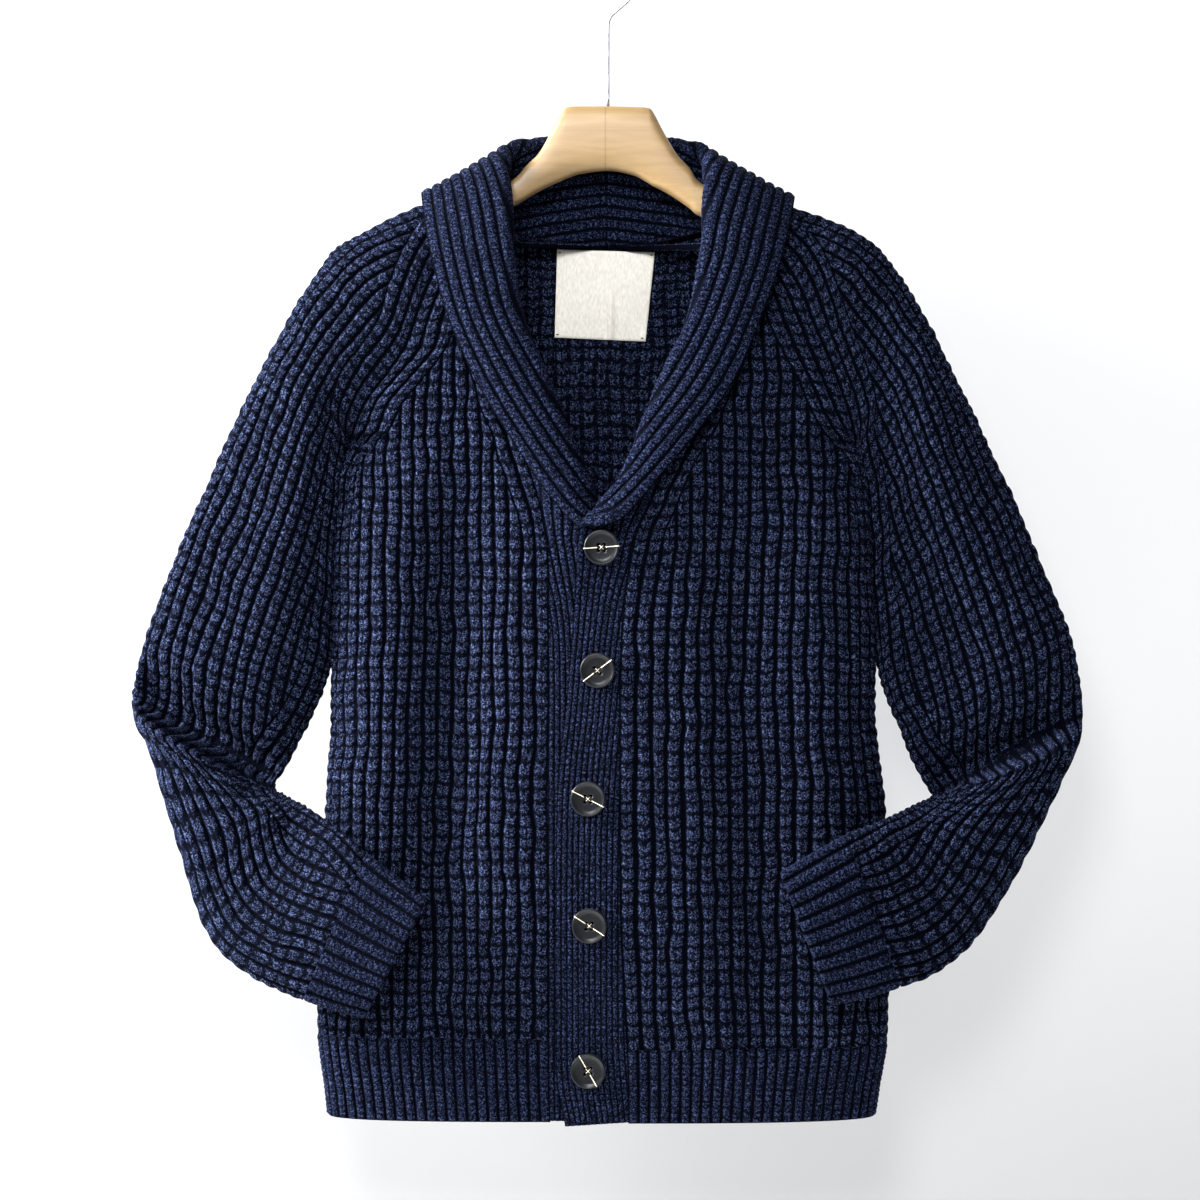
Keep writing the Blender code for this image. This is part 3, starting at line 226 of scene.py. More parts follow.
# Soft ridges (height over 0) and hollows in the knit, each along a straight line.
Fold = namedtuple("Fold", "start_x start_drop end_x end_drop width height")
FRONT_FOLDS = (
    Fold(-102, 430, -114, 800, 34, -12),
    Fold(-98, 440, -118, 760, 30, -5),
    Fold(-165, 440, -182, 700, 26, 4),
    Fold(-45, 470, -52, 760, 22, 3),
    Fold(-160, 330, -120, 430, 22, 3),
    Fold(-110, 760, -170, 700, 20, 2),
    Fold(95, 460, 120, 800, 34, -6),
    Fold(160, 440, 178, 700, 26, 3),
    Fold(150, 340, 172, 440, 20, 3),
    Fold(60, 560, 66, 800, 20, 2),
    Fold(150, 760, 100, 700, 22, -3),
)
BACK_FOLDS = (
    Fold(-90, 400, -105, 800, 42, -6),
    Fold(85, 410, 110, 800, 42, -6),
    Fold(-10, 330, 5, 760, 40, 2),
)

Button = namedtuple("Button", "x drop thread_angle")
BUTTONS = (
    Button(-5, 450, 4),
    Button(-8, 541, 37),
    Button(-15, 636, -27),
    Button(-14, 730, -33),
    Button(-15, 838, -60),
)
LABEL_CORNERS = ((-39, 220), (36, 222), (29, 290), (-41, 287))  # x and drop, clockwise
LABEL_GAP = 0.4

# The wooden hanger, a row for each upright section across it.
HangerRow = namedtuple("HangerRow", "x top bottom half_thickness")
HANGER = (
    HangerRow(-202, 231, 240, 4.0),
    HangerRow(-198, 226, 244, 6.5),
    HangerRow(-187, 219, 242, 8.0),
    HangerRow(-164, 206.5, 232, 8.5),
    HangerRow(-139, 196, 221, 9.0),
    HangerRow(-118, 193, 214, 6.5),
    HangerRow(-95, 183, 202, 8.5),
    HangerRow(-71, 169, 189, 10.0),
    HangerRow(-62, 159, 184, 10.0),
    HangerRow(-52, 149, 178, 10.0),
    HangerRow(-42, 131, 173, 10.0),
    HangerRow(-35, 118, 170, 10.0),
    HangerRow(-30, 114.5, 168, 10.0),
    HangerRow(-21, 114, 165, 10.0),
    HangerRow(0, 114, 162.5, 10.0),
    HangerRow(19, 114.5, 166, 10.0),
    HangerRow(29, 115, 171, 10.0),
    HangerRow(34, 118, 174, 10.0),
    HangerRow(42, 133, 178, 10.0),
    HangerRow(52, 150, 184, 10.0),
    HangerRow(62, 161, 191, 10.0),
    HangerRow(70, 172, 197, 10.0),
    HangerRow(95, 185, 206, 8.5),
    HangerRow(118, 195.5, 217, 6.5),
    HangerRow(139, 198, 223, 9.0),
    HangerRow(164, 206.5, 232, 8.5),
    HangerRow(187, 217, 241, 8.0),
    HangerRow(198, 224, 242, 6.5),
    HangerRow(202, 229, 238, 4.0),
)

HOOK_WIRE = 1.25  # radius of the wire
HOOK_LOOP = 20.75  # radius of the loop's middle line
HOOK_LOOP_CENTRE = 19.5  # drop of the loop's centre
HOOK_LOOP_FROM, HOOK_LOOP_TO = -45, 205  # degrees, from the viewer's right over the top
HOOK_STEM_X = 0.0
HOOK_STEM_BEND = 47.0  # drop where the stem leans towards the loop

SLEEVES = {"right": SLEEVE_RIGHT, "left": SLEEVE_LEFT}
COLLARS = {"right": COLLAR_RIGHT, "left": COLLAR_LEFT}
V_BOTTOM = 450  # drop where the lapels meet

# The ribbed pieces: height of a stitch, width of a rib, and the ribs' height and depth.
HEM_STITCH = 4.6
COLLAR_STITCH = 4.4
COLLAR_ROW_STEP = 2.4
BAND_RIB_PITCH = 4.2
COLLAR_RIB_PITCH = 8.8
COLLAR_WIDENS = (5, 9)  # rows of the collar's tables where the band's ribs grow to the collar's
HEM_RIB = (0.9, 1.7)
CUFF_RIB = (1.0, 1.8)
COLLAR_RIB = (0.55, 1.25)
RIB_SINK = 0.9  # how far the rib's ends lie under its mean face
COLLAR_SINK = 0.35
RIB_KNOT = 0.32  # height of the stitches along a rib
RIB_STATIONS = np.array((0, 0.08, 0.22, 0.4, 0.6, 0.78, 0.92))  # lines across one rib
HEM_ROWS = 34
CUFF_ROWS = 30
EDGE_SOFT = 2.5  # width of the rounding at a rib's ends

# Creases of the bent sleeves: a hollow above each forearm's upper edge, and softer dents.
SLEEVE_FOLDS = {
    "right": (
        Fold(-350, 550, -262, 620, 13, -13),
        Fold(-358, 574, -252, 648, 11, 7),
        Fold(-262, 380, -300, 480, 22, -4),
        Fold(-225, 330, -250, 520, 20, 3),
        Fold(-270, 690, -215, 745, 24, -3),
    ),
    "left": (
        Fold(199, 284, 214, 519, 24, -8),
        Fold(243, 300, 262, 470, 20, 3),
        Fold(338, 583, 232, 634, 16, -9),
        Fold(345, 606, 205, 660, 14, 3),
        Fold(262, 470, 268, 560, 22, -4),
        Fold(250, 720, 190, 745, 20, -3),
    ),
}

# Radius and height above the back of a button: its edge, its rim, its dish and its flat face.
BUTTON_DISH = 2.9
BUTTON_CURVE = (
    (11.0, 0.0), (12.2, 0.35), (12.8, 1.1), (13.0, 2.2), (12.95, 3.2), (12.7, 3.9), (12.35, 4.15),
    (12.0, 4.2), (11.6, 4.05), (11.1, 3.75), (10.5, 3.4), (9.7, 3.1), (8.6, 2.95),
    *((radius, BUTTON_DISH) for radius in (6.4, 5.0, 4.3, 3.8, 3.4, 3.05, 2.7, 2.35, 2.0, 1.6, 1.1, 0.5)),
)
BUTTON_FACE_FROM = 6  # where that curve turns to the face
HOLE_REACH = 2.0  # from the button's middle to each hole's, sideways and upwards
HOLE_RADIUS = 1.3
HOLE_DEPTH = 2.5
HOLE_ROUNDING = 0.6  # width of the slope from the button's face into a hole
BUTTON_SIDES = 72
THREAD_RADIUS = 0.32  # of the long stitch over the dish, and of the short ones that cross
CROSS_RADIUS = 0.17
THREAD_SIDES = 8
THREAD_REACHES = np.array((3.3, 3.5, 4.0, 5.0, 7.0, 9.0, 10.5, 11.6, 12.4, 12.9, 13.1))
THREAD_SINK = 1.6  # how far a thread's end lies down in its hole
THREAD_OVER_RIM = (3.6, 2.2)  # heights of the long stitch where it turns down past the rim
CROSS_REACHES = np.array((-2.4, -1.9, -1.0, 0.0, 1.0, 1.9, 2.4))
CROSS_ANGLES = (45, 135)
CROSS_HEIGHTS = np.array((-THREAD_SINK, -0.5, 0.15, 0.3, 0.15, -0.5, -THREAD_SINK))
HANGER_EDGE = 3.4  # how square the hanger's section is: 2 is an ellipse
HANGER_SECTIONS = 220
HANGER_SIDES = 36
GLUE_SEAM_X = -2.0  # where the hanger's two halves are glued
HOOK_LOOP_STEPS = 72
HOOK_SIDES = 18

# The label's cloth, and how far it stands out: as a wave, along its crease and at its corner.
LABEL_WALL = 0.6
LABEL_SIZE = (75, 67)
LABEL_CELLS = (48, 34)
LABEL_WAVE = 0.5
LABEL_LIFT = 0.9
LABEL_CREASE = 2.2
CREASE_WIDTH = 0.035  # as a share of the label's width
LABEL_CURL = 1.4
LABEL_STITCHES = ((0.03, 0.035), (0.97, 0.035), (0.03, 0.965), (0.96, 0.965))  # shares of the label
LABEL_STITCH_HALF = 0.012  # half a corner stitch's length, as a share of the label's width
LABEL_STITCH_RADIUS = 0.4
LABEL_STITCH_BOW = np.array(((0, 0.3, 0), (0, -0.5, 0), (0, 0.3, 0)))

# The studio, in metres and watts.
CAMERA_DISTANCE = 2.2
FRAME_WIDTH = 0.912
CAMERA_X = -0.00608
CAMERA_Z = -0.4889
WALL_Y = 0.1
WALL_PAINTED_GLOW = 0.7  # strength of the wall's own glow, which is painted light, and the weaker glow at its foot, which is painted shade
WALL_PAINTED_GLOW_AT_FOOT = 0.42
GLOW_FROM, GLOW_TO = -1.15, -0.45  # heights between which it grows
FLOOR_Z = -1.6
WALL_TOP = 3.0
STUDIO_REACH = 6.0
WORLD_STRENGTH = 0.1  # what lights the garment from all round, and what shows behind it
WORLD_SEEN = 0.8
SENSOR_WIDTH = 36.0  # mm
LAMPS = (  # name, place, what it looks at, width and height, watts
    ("key_softbox", (-1.7, -0.36, 0.3), (0, 0, -0.45), (0.5, 0.9), 240),
    ("fill_softbox", (-0.4, -2.25, 0.75), (0, 0, -0.4), (0.8, 0.8), 88),
    ("back_softbox", (0.6, 2.6, 0.6), (0, 0, -0.45), (2.0, 2.0), 24),
)
# The materials' patterns: sizes in mm, along x, y and z where they differ.
YARN_WAVER = 4.17  # a stitch's edges stray over this length
FIBRE_CLUMP = 1.22  # wool fibres are 0.02 thick: drawn as clumps, so that they show
FIBRE_LIFT = 3.0
BEECH_FIGURE = (83.3, 11.1, 5.88)  # along the grain, and through and across the board
BEECH_SLANT = 0.75  # radians that the grain leans down along an arm
FLECKS_ACROSS_FIGURE = 6.0
GRAIN_LIFT = 0.2
GLUE_HALF = 0.2  # half the glue line, and how far its stain reaches
GLUE_STAIN = 0.7
TURNED_RING = 0.77
RING_LIFT = 0.2
RESIN_CLOUD = 2.86
SATIN_THREAD = (1.11, 1.11, 3.85)  # the tape's threads are 0.1 thick: drawn coarser, to show
SATIN_LIFT = 0.3
WIRE_GRAIN = (2.5, 2.5, 16.7)
THREAD_STRAND = (1.11, 1.11, 1.11)
FLOOR_MOTTLE = (333, 333, 333)


# Each knit cell, one column wide and one row tall, has these lines across it: a groove,
# the flank and top of one leg of the stitch, the dip between the legs, and the other leg.
CELL_WIDTH = 10.6
CELL_HEIGHT = 9.7
STATIONS = np.array((0, 0.12, 0.21, 0.34, 0.5, 0.66, 0.79, 0.88))
BACK_STATIONS = np.array((0, 0.14, 0.3, 0.5, 0.7, 0.86))
ROWS_PER_CELL = 6
BACK_ROWS_PER_CELL = 5
SLEEVE_ROWS_PER_CELL = 5
NOISE_ROWS, NOISE_COLUMNS = 120, 60
RAGLAN_CELLS = 3  # columns that run parallel to a raglan or side seam
LAPEL_CELLS = 2  # columns that run parallel to the collar's seam
GROOVE_DEPTH = 3.2
BAR_DEPTH = 1.5  # depth of a groove where a yarn bridges it, between two rows
STITCH_TOP = 1.1
PINCH_HEIGHT = -0.5
LEG_DIP = 0.34  # the dip between a stitch's two legs, as a share of its height
INSIDE_RIB = 0.9
LOOP_SLANT = 0.3  # share of a row that a stitch's legs climb from its middle to its sides
SEAM_DITCH = 1.1
ROW_DRIFT = 0.32  # share of a row by which neighbouring stitches stand higher or lower
WANDER = 1.9  # how far the columns stray sideways
SIDE_SWELL = {"right": -7.2, "left": 5.0}  # where the body's sides press against the sleeves
SWELL_FROM, SWELL_TO = 373, 592  # drops of that stretch
SEAM_BLEND = 12.0  # width beside a seam where a piece turns to its neighbour's direction
SEAM_SLOPE = 3.0  # width of the slope down to a seam
FRONT_STEPS = 220  # points of the smooth grids that the stitches are laid on
BACK_STEPS = 360
SLEEVE_STEPS = 301
FINE = 3000
HEM_POINTS = 300
BACK_HEM_POINTS = 500
BACK_FINE = 4000
SEAM_START = 0.3  # row of the tables where the fronts and the back begin below the collar


def unit(vectors):
    """The vectors at a length of one."""
    return vectors / np.maximum(np.linalg.norm(vectors, axis=-1, keepdims=True), 1e-9)


def mix(one, two, share):
    """From one to two as the share grows from 0 to 1."""
    return one + (two - one) * share


def ease(value):
    """A smooth step from 0 to 1, level at both ends."""
    value = np.clip(value, 0, 1)
    return value * value * (3 - 2 * value)


def row_slopes(rows):
    """Slopes of a smooth curve through a table's rows that never overshoots."""
    steps = np.diff(rows, axis=0)
    limit = 3 * np.minimum(np.abs(steps[:-1]), np.abs(steps[1:]))
    inner = np.clip((steps[:-1] + steps[1:]) / 2, -limit, limit)
    inner = np.where(steps[:-1] * steps[1:] > 0, inner, 0)
    return np.concatenate((steps[:1], inner, steps[-1:]))


def rows_at(table, positions):
    """Every column of a table at each row position."""
    rows = np.asarray(table, float)
    positions = np.clip(np.atleast_1d(positions), 0, len(rows) - 1.0)
    index = np.minimum(positions.astype(int), len(rows) - 2)
    part = (positions - index)[:, None]
    slopes = row_slopes(rows)
    square, cube = part**2, part**3
    return (
        rows[index] * (2 * cube - 3 * square + 1)
        + rows[index + 1] * (3 * square - 2 * cube)
        + slopes[index] * (cube - 2 * square + part)
        + slopes[index + 1] * (cube - square)
    )


def positions_of(table, column, values):
    """Row positions where a column that rises or falls all the way reaches the values."""
    fine = np.linspace(0, len(table) - 1, 6000)
    found = rows_at(table, fine)[:, column]
    if found[-1] < found[0]:
        fine, found = fine[::-1], found[::-1]
    return np.interp(values, found, fine)


def sleeve_surface(rows, positions, turns):
    """Outer face of a sleeve: turns are -1 at the back seam, 0 on the ridge, 1 at the front."""
    row = SleeveRow(*rows_at(rows, positions).T[:, :, None])
    turns = np.asarray(turns)[None, :]
    cut = np.radians(row.cut)
    angle = np.abs(turns) * cut
    along = (1 - np.cos(angle)) / (1 - np.cos(cut))
    bulge = np.maximum(np.sin(angle), 0) ** (2 / ROUNDNESS)
    front = turns > 0
    depth = np.where(front, -row.front_depth * bulge - row.lift * bulge**4, row.back_depth * bulge)
    x = mix(row.ridge_x, np.where(front, row.front_x, row.back_x), along)
    drop = mix(row.ridge_drop, np.where(front, row.front_drop, row.back_drop), along)
    return np.stack((x, mix(row.ridge_y, row.inner_y, along) + depth, -drop), axis=2)


def fold_depth(folds, x, drop):
    """Height of all the creases together at places on the garment."""
    total = np.zeros(np.broadcast(x, drop).shape)
    for fold in folds:
        line = np.array((fold.end_x - fold.start_x, fold.end_drop - fold.start_drop), float)
        away_x, away_drop = x - fold.start_x, drop - fold.start_drop
        share = np.clip((away_x * line[0] + away_drop * line[1]) / (line @ line), 0, 1)
        distance = np.hypot(away_x - line[0] * share, away_drop - line[1] * share)
        total = total + fold.height * np.exp(-((distance / fold.width) ** 2))
    return total


def side_points(side, drops):
    """Points of a side seam at drops below the armpit."""
    rows = [(row.drop, row.right_x if side == "right" else row.left_x, row.side_y) for row in BODY]
    found = rows_at(rows, positions_of(rows, 0, drops))
    drops = np.asarray(drops)
    swell = SIDE_SWELL[side] * ease((drops - SWELL_FROM) / 25) * ease((SWELL_TO - drops) / 60)
    return np.stack((found[:, 1] + swell, found[:, 2], -drops), axis=1)


def back_middle(drops):
    """How far the middle of the back stands behind the hook's crown."""
    rows = [(row.drop, row.back_y) for row in BODY]
    return rows_at(rows, positions_of(rows, 0, drops))[:, 1]


def body_edge(side, face, positions):
    """The raglan seam down to the armpit, the side seam to the rib, then the rib's side."""
    rows = SLEEVES[side]
    on_raglan = sleeve_surface(rows, np.minimum(positions, ARMPIT_ROW), (face,))[:, 0]
    levels = (rows[ARMPIT_ROW].front_drop, HEM_TOP[side], HEM_BOTTOM)
    drops = np.interp(positions, (ARMPIT_ROW, HEM_ROW, HEM_ROW + 1), levels)
    return np.where((positions <= ARMPIT_ROW)[:, None], on_raglan, side_points(side, drops))


def section_depth(reach):
    """Depth of the body's flattened section, as a share, from its side (0) inwards."""
    outside = np.clip(1 - reach, 0, 1)
    return np.maximum(1 - outside**BODY_ROUNDNESS, 0) ** (1 / BODY_ROUNDNESS)


def across_body(edge, side, middle, shares, folds, outward):
    """Rows from the side or raglan seam (share 0) to the middle (share 1)."""
    along = 1 - np.maximum(np.cos(shares * math.pi / 2), 0) ** (2 / BODY_ROUNDNESS)
    x = mix(edge[:, :1], middle[:, :1], along)
    width = middle[:, :1] - side[:, :1]
    depth = mix(side[:, 1:2], middle[:, 1:2], section_depth((x - side[:, :1]) / width))
    at_edge = section_depth((edge[:, :1] - side[:, :1]) / width)
    edge_depth = mix(side[:, 1:2], middle[:, 1:2], at_edge)
    depth = depth + (edge[:, 1:2] - edge_depth) * (1 - along) ** 2
    level = mix(edge[:, 2:], middle[:, 2:], 1 - (1 - along) ** NECK_CURVE)
    calm = ease(shares * 4) * ease((1 - shares) * 4)
    depth = depth + outward * calm * fold_depth(folds, x, -level)
    return np.stack((x, depth, level), axis=2)


def front_surface(side, positions, shares):
    """shares run from 0 at the raglan or side seam to 1 at the band's seam."""
    edge = body_edge(side, 1, positions)
    collar = COLLARS[side]
    seam = rows_at(collar, positions_of(collar, 1, -edge[:, 2]))
    middle = np.stack((seam[:, 0], seam[:, 2], edge[:, 2]), axis=1)
    section_side = body_edge(side, 1, np.maximum(positions, ARMPIT_ROW))
    return across_body(edge, section_side, middle, shares, FRONT_FOLDS, -1)


def back_surface(positions, shares):
    """shares run from 0 at the wearer's right seam to 2 at the left one."""
    right, left = body_edge("right", -1, positions), body_edge("left", -1, positions)
    dip = NECK_DIP * (1 - ease(positions / 5))
    longer = BACK_HEM_LONGER * np.maximum(positions - HEM_ROW, 0)
    drop = -(right[:, 2] + left[:, 2]) / 2 + dip + longer
    middle = np.stack(((right[:, 0] + left[:, 0]) / 2, back_middle(drop), -drop), axis=1)
    halves = []
    for side, edge, part in (("right", right, shares[shares <= 1]), ("left", left, shares[shares > 1])):
        section_side = body_edge(side, -1, np.maximum(positions, ARMPIT_ROW))
        from_edge = part if side == "right" else 2 - part
        halves.append(across_body(edge, section_side, middle, from_edge, BACK_FOLDS, 1))
    return np.concatenate(halves, axis=1)


def collar_path(rows, position, outward):
    """Points along the collar's section, from its seam over the roll to its free edge."""
    row = CollarRow(*rows_at(rows, position)[0])
    seam = np.array((row.seam_x, row.seam_y, -row.seam_drop))
    roll = np.array((row.roll_x, row.roll_y, -row.roll_drop))
    fall = np.array((row.fall_x, row.fall_y, -row.fall_drop))
    nearby = rows_at(rows, (position - 0.5, position + 0.5))
    step_x, step_drop, step_y = (nearby[1] - nearby[0])[3:6]
    run = np.array((step_x, step_y, -step_drop))
    length = np.linalg.norm(fall - roll)
    reach = unit(roll - mix(seam, fall, ease(length / 40) / 2))
    lift = unit(np.cross(reach, run)) * outward
    turned = ease(length / (4 * ROLL_RADIUS))
    radius = ROLL_RADIUS * turned
    centre = roll - reach * (radius + COLLAR_WALL * turned)
    stand_top = centre - lift * radius
    turns = np.linspace(-math.pi / 2, math.pi / 2, 9)[:, None]
    arc = centre + radius * (np.cos(turns) * reach + np.sin(turns) * lift)
    shares = np.linspace(0, 1, 12)[:-1, None]
    stand = mix(seam, stand_top, shares) + lift * 3 * turned * np.sin(math.pi * shares)
    shares = np.linspace(0, 1, 16)[1:, None]
    if length < 1:
        fall_part = mix(arc[-1], roll, shares)
    else:
        fall_part = mix(arc[-1], fall, shares) + lift * 2.5 * turned * np.sin(math.pi * shares)
    return np.concatenate((stand, arc, fall_part))


def grid_normals(grid, outward):
    """Directions square to a grid, turned over where outward is -1."""
    return unit(np.cross(np.gradient(grid, axis=1), np.gradient(grid, axis=0))) * outward


def arcs_of(grid):
    """How far along its row each point of a grid lies."""
    steps = np.linalg.norm(np.diff(grid, axis=1), axis=2)
    return np.concatenate((np.zeros((len(grid), 1)), np.cumsum(steps, axis=1)), axis=1)


def arcs_along(path):
    """How far along a line of points each of them lies."""
    return np.concatenate(([0], np.cumsum(np.linalg.norm(np.diff(path, axis=0), axis=1))))


def along_rows(grid, reached, wanted):
    """Values of a grid at arc lengths along each of its rows."""
    found = np.empty((*wanted.shape, grid.shape[2]))
    for row in range(len(grid)):
        for axis in range(grid.shape[2]):
            found[row, :, axis] = np.interp(wanted[row], reached[row], grid[row, :, axis])
    return found


def seam_normals(side, face, positions):
    """The outward direction along a seam, between those of the two pieces that it joins."""
    near = 0.04
    sleeve = sleeve_surface(SLEEVES[side], np.minimum(positions, ARMPIT_ROW), (face, face * (1 - near)))
    if face > 0:
        body = front_surface(side, positions, np.array((0, near)))
    else:
        shares = np.array((0, near)) if side == "right" else np.array((2, 2 - near))
        body = back_surface(positions, shares)
    run = np.gradient(body[:, 0], axis=0)
    out_of_body = unit(np.cross(body[:, 1] - body[:, 0], run))
    out_of_body *= np.sign(out_of_body[:, 1:2] * -face + 1e-9)
    out_of_sleeve = unit(np.cross(sleeve[:, 1] - sleeve[:, 0], run))
    out_of_sleeve *= np.sign(out_of_sleeve[:, 1:2] * -face + 1e-9)
    on_raglan = unit(out_of_body + out_of_sleeve)
    sideways = np.array((-1.0 if side == "right" else 1.0, 0, 0))
    turn = ease((positions - ARMPIT_ROW + 0.5) / 0.5)[:, None]
    return unit(mix(on_raglan, sideways, turn))


def turn_edge(normals, reached, shared, first, width):
    """Turns the normals near a row's first or last point towards those of its seam."""
    away = reached if first else reached[:, -1:] - reached
    weight = (1 - ease(away / width))[:, :, None]
    return unit(mix(normals, shared[:, None, :], weight))


def smooth_noise(rows, columns, seed):
    """Random numbers from -1 to 1 for whole cells, with a function that reads between them."""
    values = np.random.default_rng(seed).uniform(-1, 1, (rows + 2, columns + 2))

    def read(v, u):
        v, u = np.broadcast_arrays(np.clip(v, 0, rows), np.clip(u, 0, columns))
        row, column = v.astype(int), u.astype(int)
        down, right = ease(v - row), ease(u - column)
        top = mix(values[row, column], values[row, column + 1], right)
        low = mix(values[row + 1, column], values[row + 1, column + 1], right)
        return mix(top, low, down)

    return read, values


def waffle_relief(u, v, seed):
    """Height of the knit over its mean face: u counts columns, v rows downwards."""
    u, v = np.broadcast_arrays(u, v)
    smooth, values = smooth_noise(NOISE_ROWS, NOISE_COLUMNS, seed)
    row = np.clip(np.floor(v), 0, NOISE_ROWS).astype(int)
    column = np.clip(np.floor(u), 0, NOISE_COLUMNS).astype(int)
    cell = values[row, column]
    reach = reach_of(u)
    stage = v + LOOP_SLANT * reach
    stage = stage - np.floor(stage)  # 0 where the row starts, 1 where it ends
    loop = np.sin(math.pi * stage) ** 0.7
    width = mix(0.95, 0.75, stage) + 0.05 * cell
    crest = np.clip(1 - (reach / width) ** 3, 0, 1)
    dip = LEG_DIP * loop * np.exp(-((reach / 0.2) ** 2))
    top = mix(PINCH_HEIGHT, STITCH_TOP * (1 + 0.4 * cell), loop)
    floor = mix(-BAR_DEPTH, -GROOVE_DEPTH, loop) + 0.3 * smooth(v, u * 0.7)
    return mix(floor, top, crest - dip)


def reach_of(u):
    """How far columns lie from the middle of their stitch: 0 there, 1 in the groove."""
    return 2 * np.abs(u - np.floor(u) - 0.5)


def seam_fade(relief, reached, ditch, width=SEAM_SLOPE):
    """The relief of a piece, sunk to the depth of the ditch where it is sewn on."""
    edge = np.minimum(reached, reached[:, -1:] - reached)
    return mix(-ditch, relief, ease(edge / width))


def add_mesh(name, points, corners, counts, coordinates, made_of):
    """An object from points in millimetres, faces as one run of corners, and a place in
    the knit for each corner."""
    mesh = bpy.data.meshes.new(name)
    mesh.vertices.add(len(points))
    mesh.vertices.foreach_set("co", (points * MM).astype(np.float32).ravel())
    mesh.loops.add(len(corners))
    mesh.loops.foreach_set("vertex_index", corners.astype(np.int32))
    mesh.polygons.add(len(counts))
    starts = np.concatenate(([0], np.cumsum(counts)[:-1]))
    mesh.polygons.foreach_set("loop_start", starts.astype(np.int32))
    layer = mesh.uv_layers.new(name="knit")
    layer.data.foreach_set("uv", coordinates.astype(np.float32).ravel())
    mesh.polygons.foreach_set("use_smooth", np.ones(len(counts), bool))
    mesh.update(calc_edges=True)
    mesh.validate()
    mesh.materials.append(made_of)
    added = bpy.data.objects.new(name, mesh)
    bpy.context.scene.collection.objects.link(added)
    return added


def coarse_faces(rows, columns, step, closed_from):
    """Faces of a coarser grid whose outer border keeps every point of the fine one."""
    marks = [np.arange(0, count, size) for count, size in zip((rows, columns), step)]
    extra = [[rows - 1, min(closed_from, rows - 1)], [columns - 1]]
    marks = [np.unique(np.append(mark, more)) for mark, more in zip(marks, extra)]
    faces = []
    for top, bottom in zip(marks[0], marks[0][1:]):
        for left, right in zip(marks[1], marks[1][1:]):
            across_top = range(left, right) if top == 0 else (left,)
            across_bottom = range(right, left, -1) if bottom == rows - 1 else (right,)
            edged = top < closed_from
            down = range(top, bottom) if right == columns - 1 and edged else (top,)
            up = range(bottom, top, -1) if left == 0 and edged else (bottom,)
            face = [top * columns + c for c in across_top]
            face += [r * columns + right for r in down]
            face += [bottom * columns + c for c in across_bottom]
            face += [r * columns + left for r in up]
            faces.append(face)
    return faces


def add_cloth(name, lines, outer, inner, u, v, flip, step, made_of, closed_from=None):
    """The closed wall of one piece: a fine outer face, a coarser inner one, and its edge.

    lines says how far along its row each point lies: points that lie together become one,
    and faces without width go. From row closed_from on, a row's two ends are one.
    """
    rows, columns = outer.shape[:2]
    closed_from = rows if closed_from is None else closed_from
    size = rows * columns
    index = np.arange(size).reshape(rows, columns)
    merged = index.copy()
    together = np.broadcast_to(np.diff(lines, axis=1) < 1e-3, (rows, columns - 1))
    for column in range(1, columns):
        merged[:, column] = np.where(together[:, column - 1], merged[:, column - 1], merged[:, column])
    merged[closed_from:][merged[closed_from:] >= index[closed_from:, -1:]] = -1
    merged[closed_from:] = np.where(merged[closed_from:] < 0, merged[closed_from:, :1], merged[closed_from:])
    merged = np.concatenate((merged.ravel(), merged.ravel() + size))
    a, b = index[:-1, :-1].ravel(), index[:-1, 1:].ravel()
    d, c = index[1:, :-1].ravel(), index[1:, 1:].ravel()
    faces = np.stack((a, b, c, d), axis=1).tolist()
    for face in coarse_faces(rows, columns, step, closed_from):
        faces.append([corner + size for corner in face[::-1]])
    border = [(index[0, :-1], index[0, 1:]), (index[-1, 1:], index[-1, :-1])]
    if closed_from > 0:
        sides = index[: min(closed_from, rows - 1) + 1]
        border += [(sides[:-1, -1], sides[1:, -1]), (sides[1:, 0], sides[:-1, 0])]
    for one, two in border:
        faces += np.stack((two, one, one + size, two + size), axis=1).tolist()
    corners = np.concatenate([np.asarray(face) for face in faces])
    counts = np.array([len(face) for face in faces])
    owner = np.repeat(np.arange(len(counts)), counts)
    starts = np.concatenate(([0], np.cumsum(counts)[:-1]))
    following = np.arange(1, len(corners) + 1)
    following[starts + counts - 1] = starts
    kept = merged[corners] != merged[corners[following]]
    counts = np.bincount(owner[kept], minlength=len(counts))
    kept &= counts[owner] >= 3
    counts = counts[counts >= 3]
    points = np.concatenate((outer.reshape(-1, 3), inner.reshape(-1, 3)))
    places = np.stack(np.broadcast_arrays(reach_of(u), v), axis=2).reshape(-1, 2)
    coordinates = np.concatenate((places, places))[corners[kept]]
    used, vertex = np.unique(merged[corners[kept]], return_inverse=True)
    made = add_mesh(name, points[used], vertex.ravel(), counts, coordinates, made_of)
    if flip:
        made.data.flip_normals()
    return made


def line_shares(cells, stations):
    """Column numbers of the lines across a run of cells, with its last edge."""
    lines = [cell + stations for cell in range(cells)]
    return np.concatenate((*lines, [cells]))


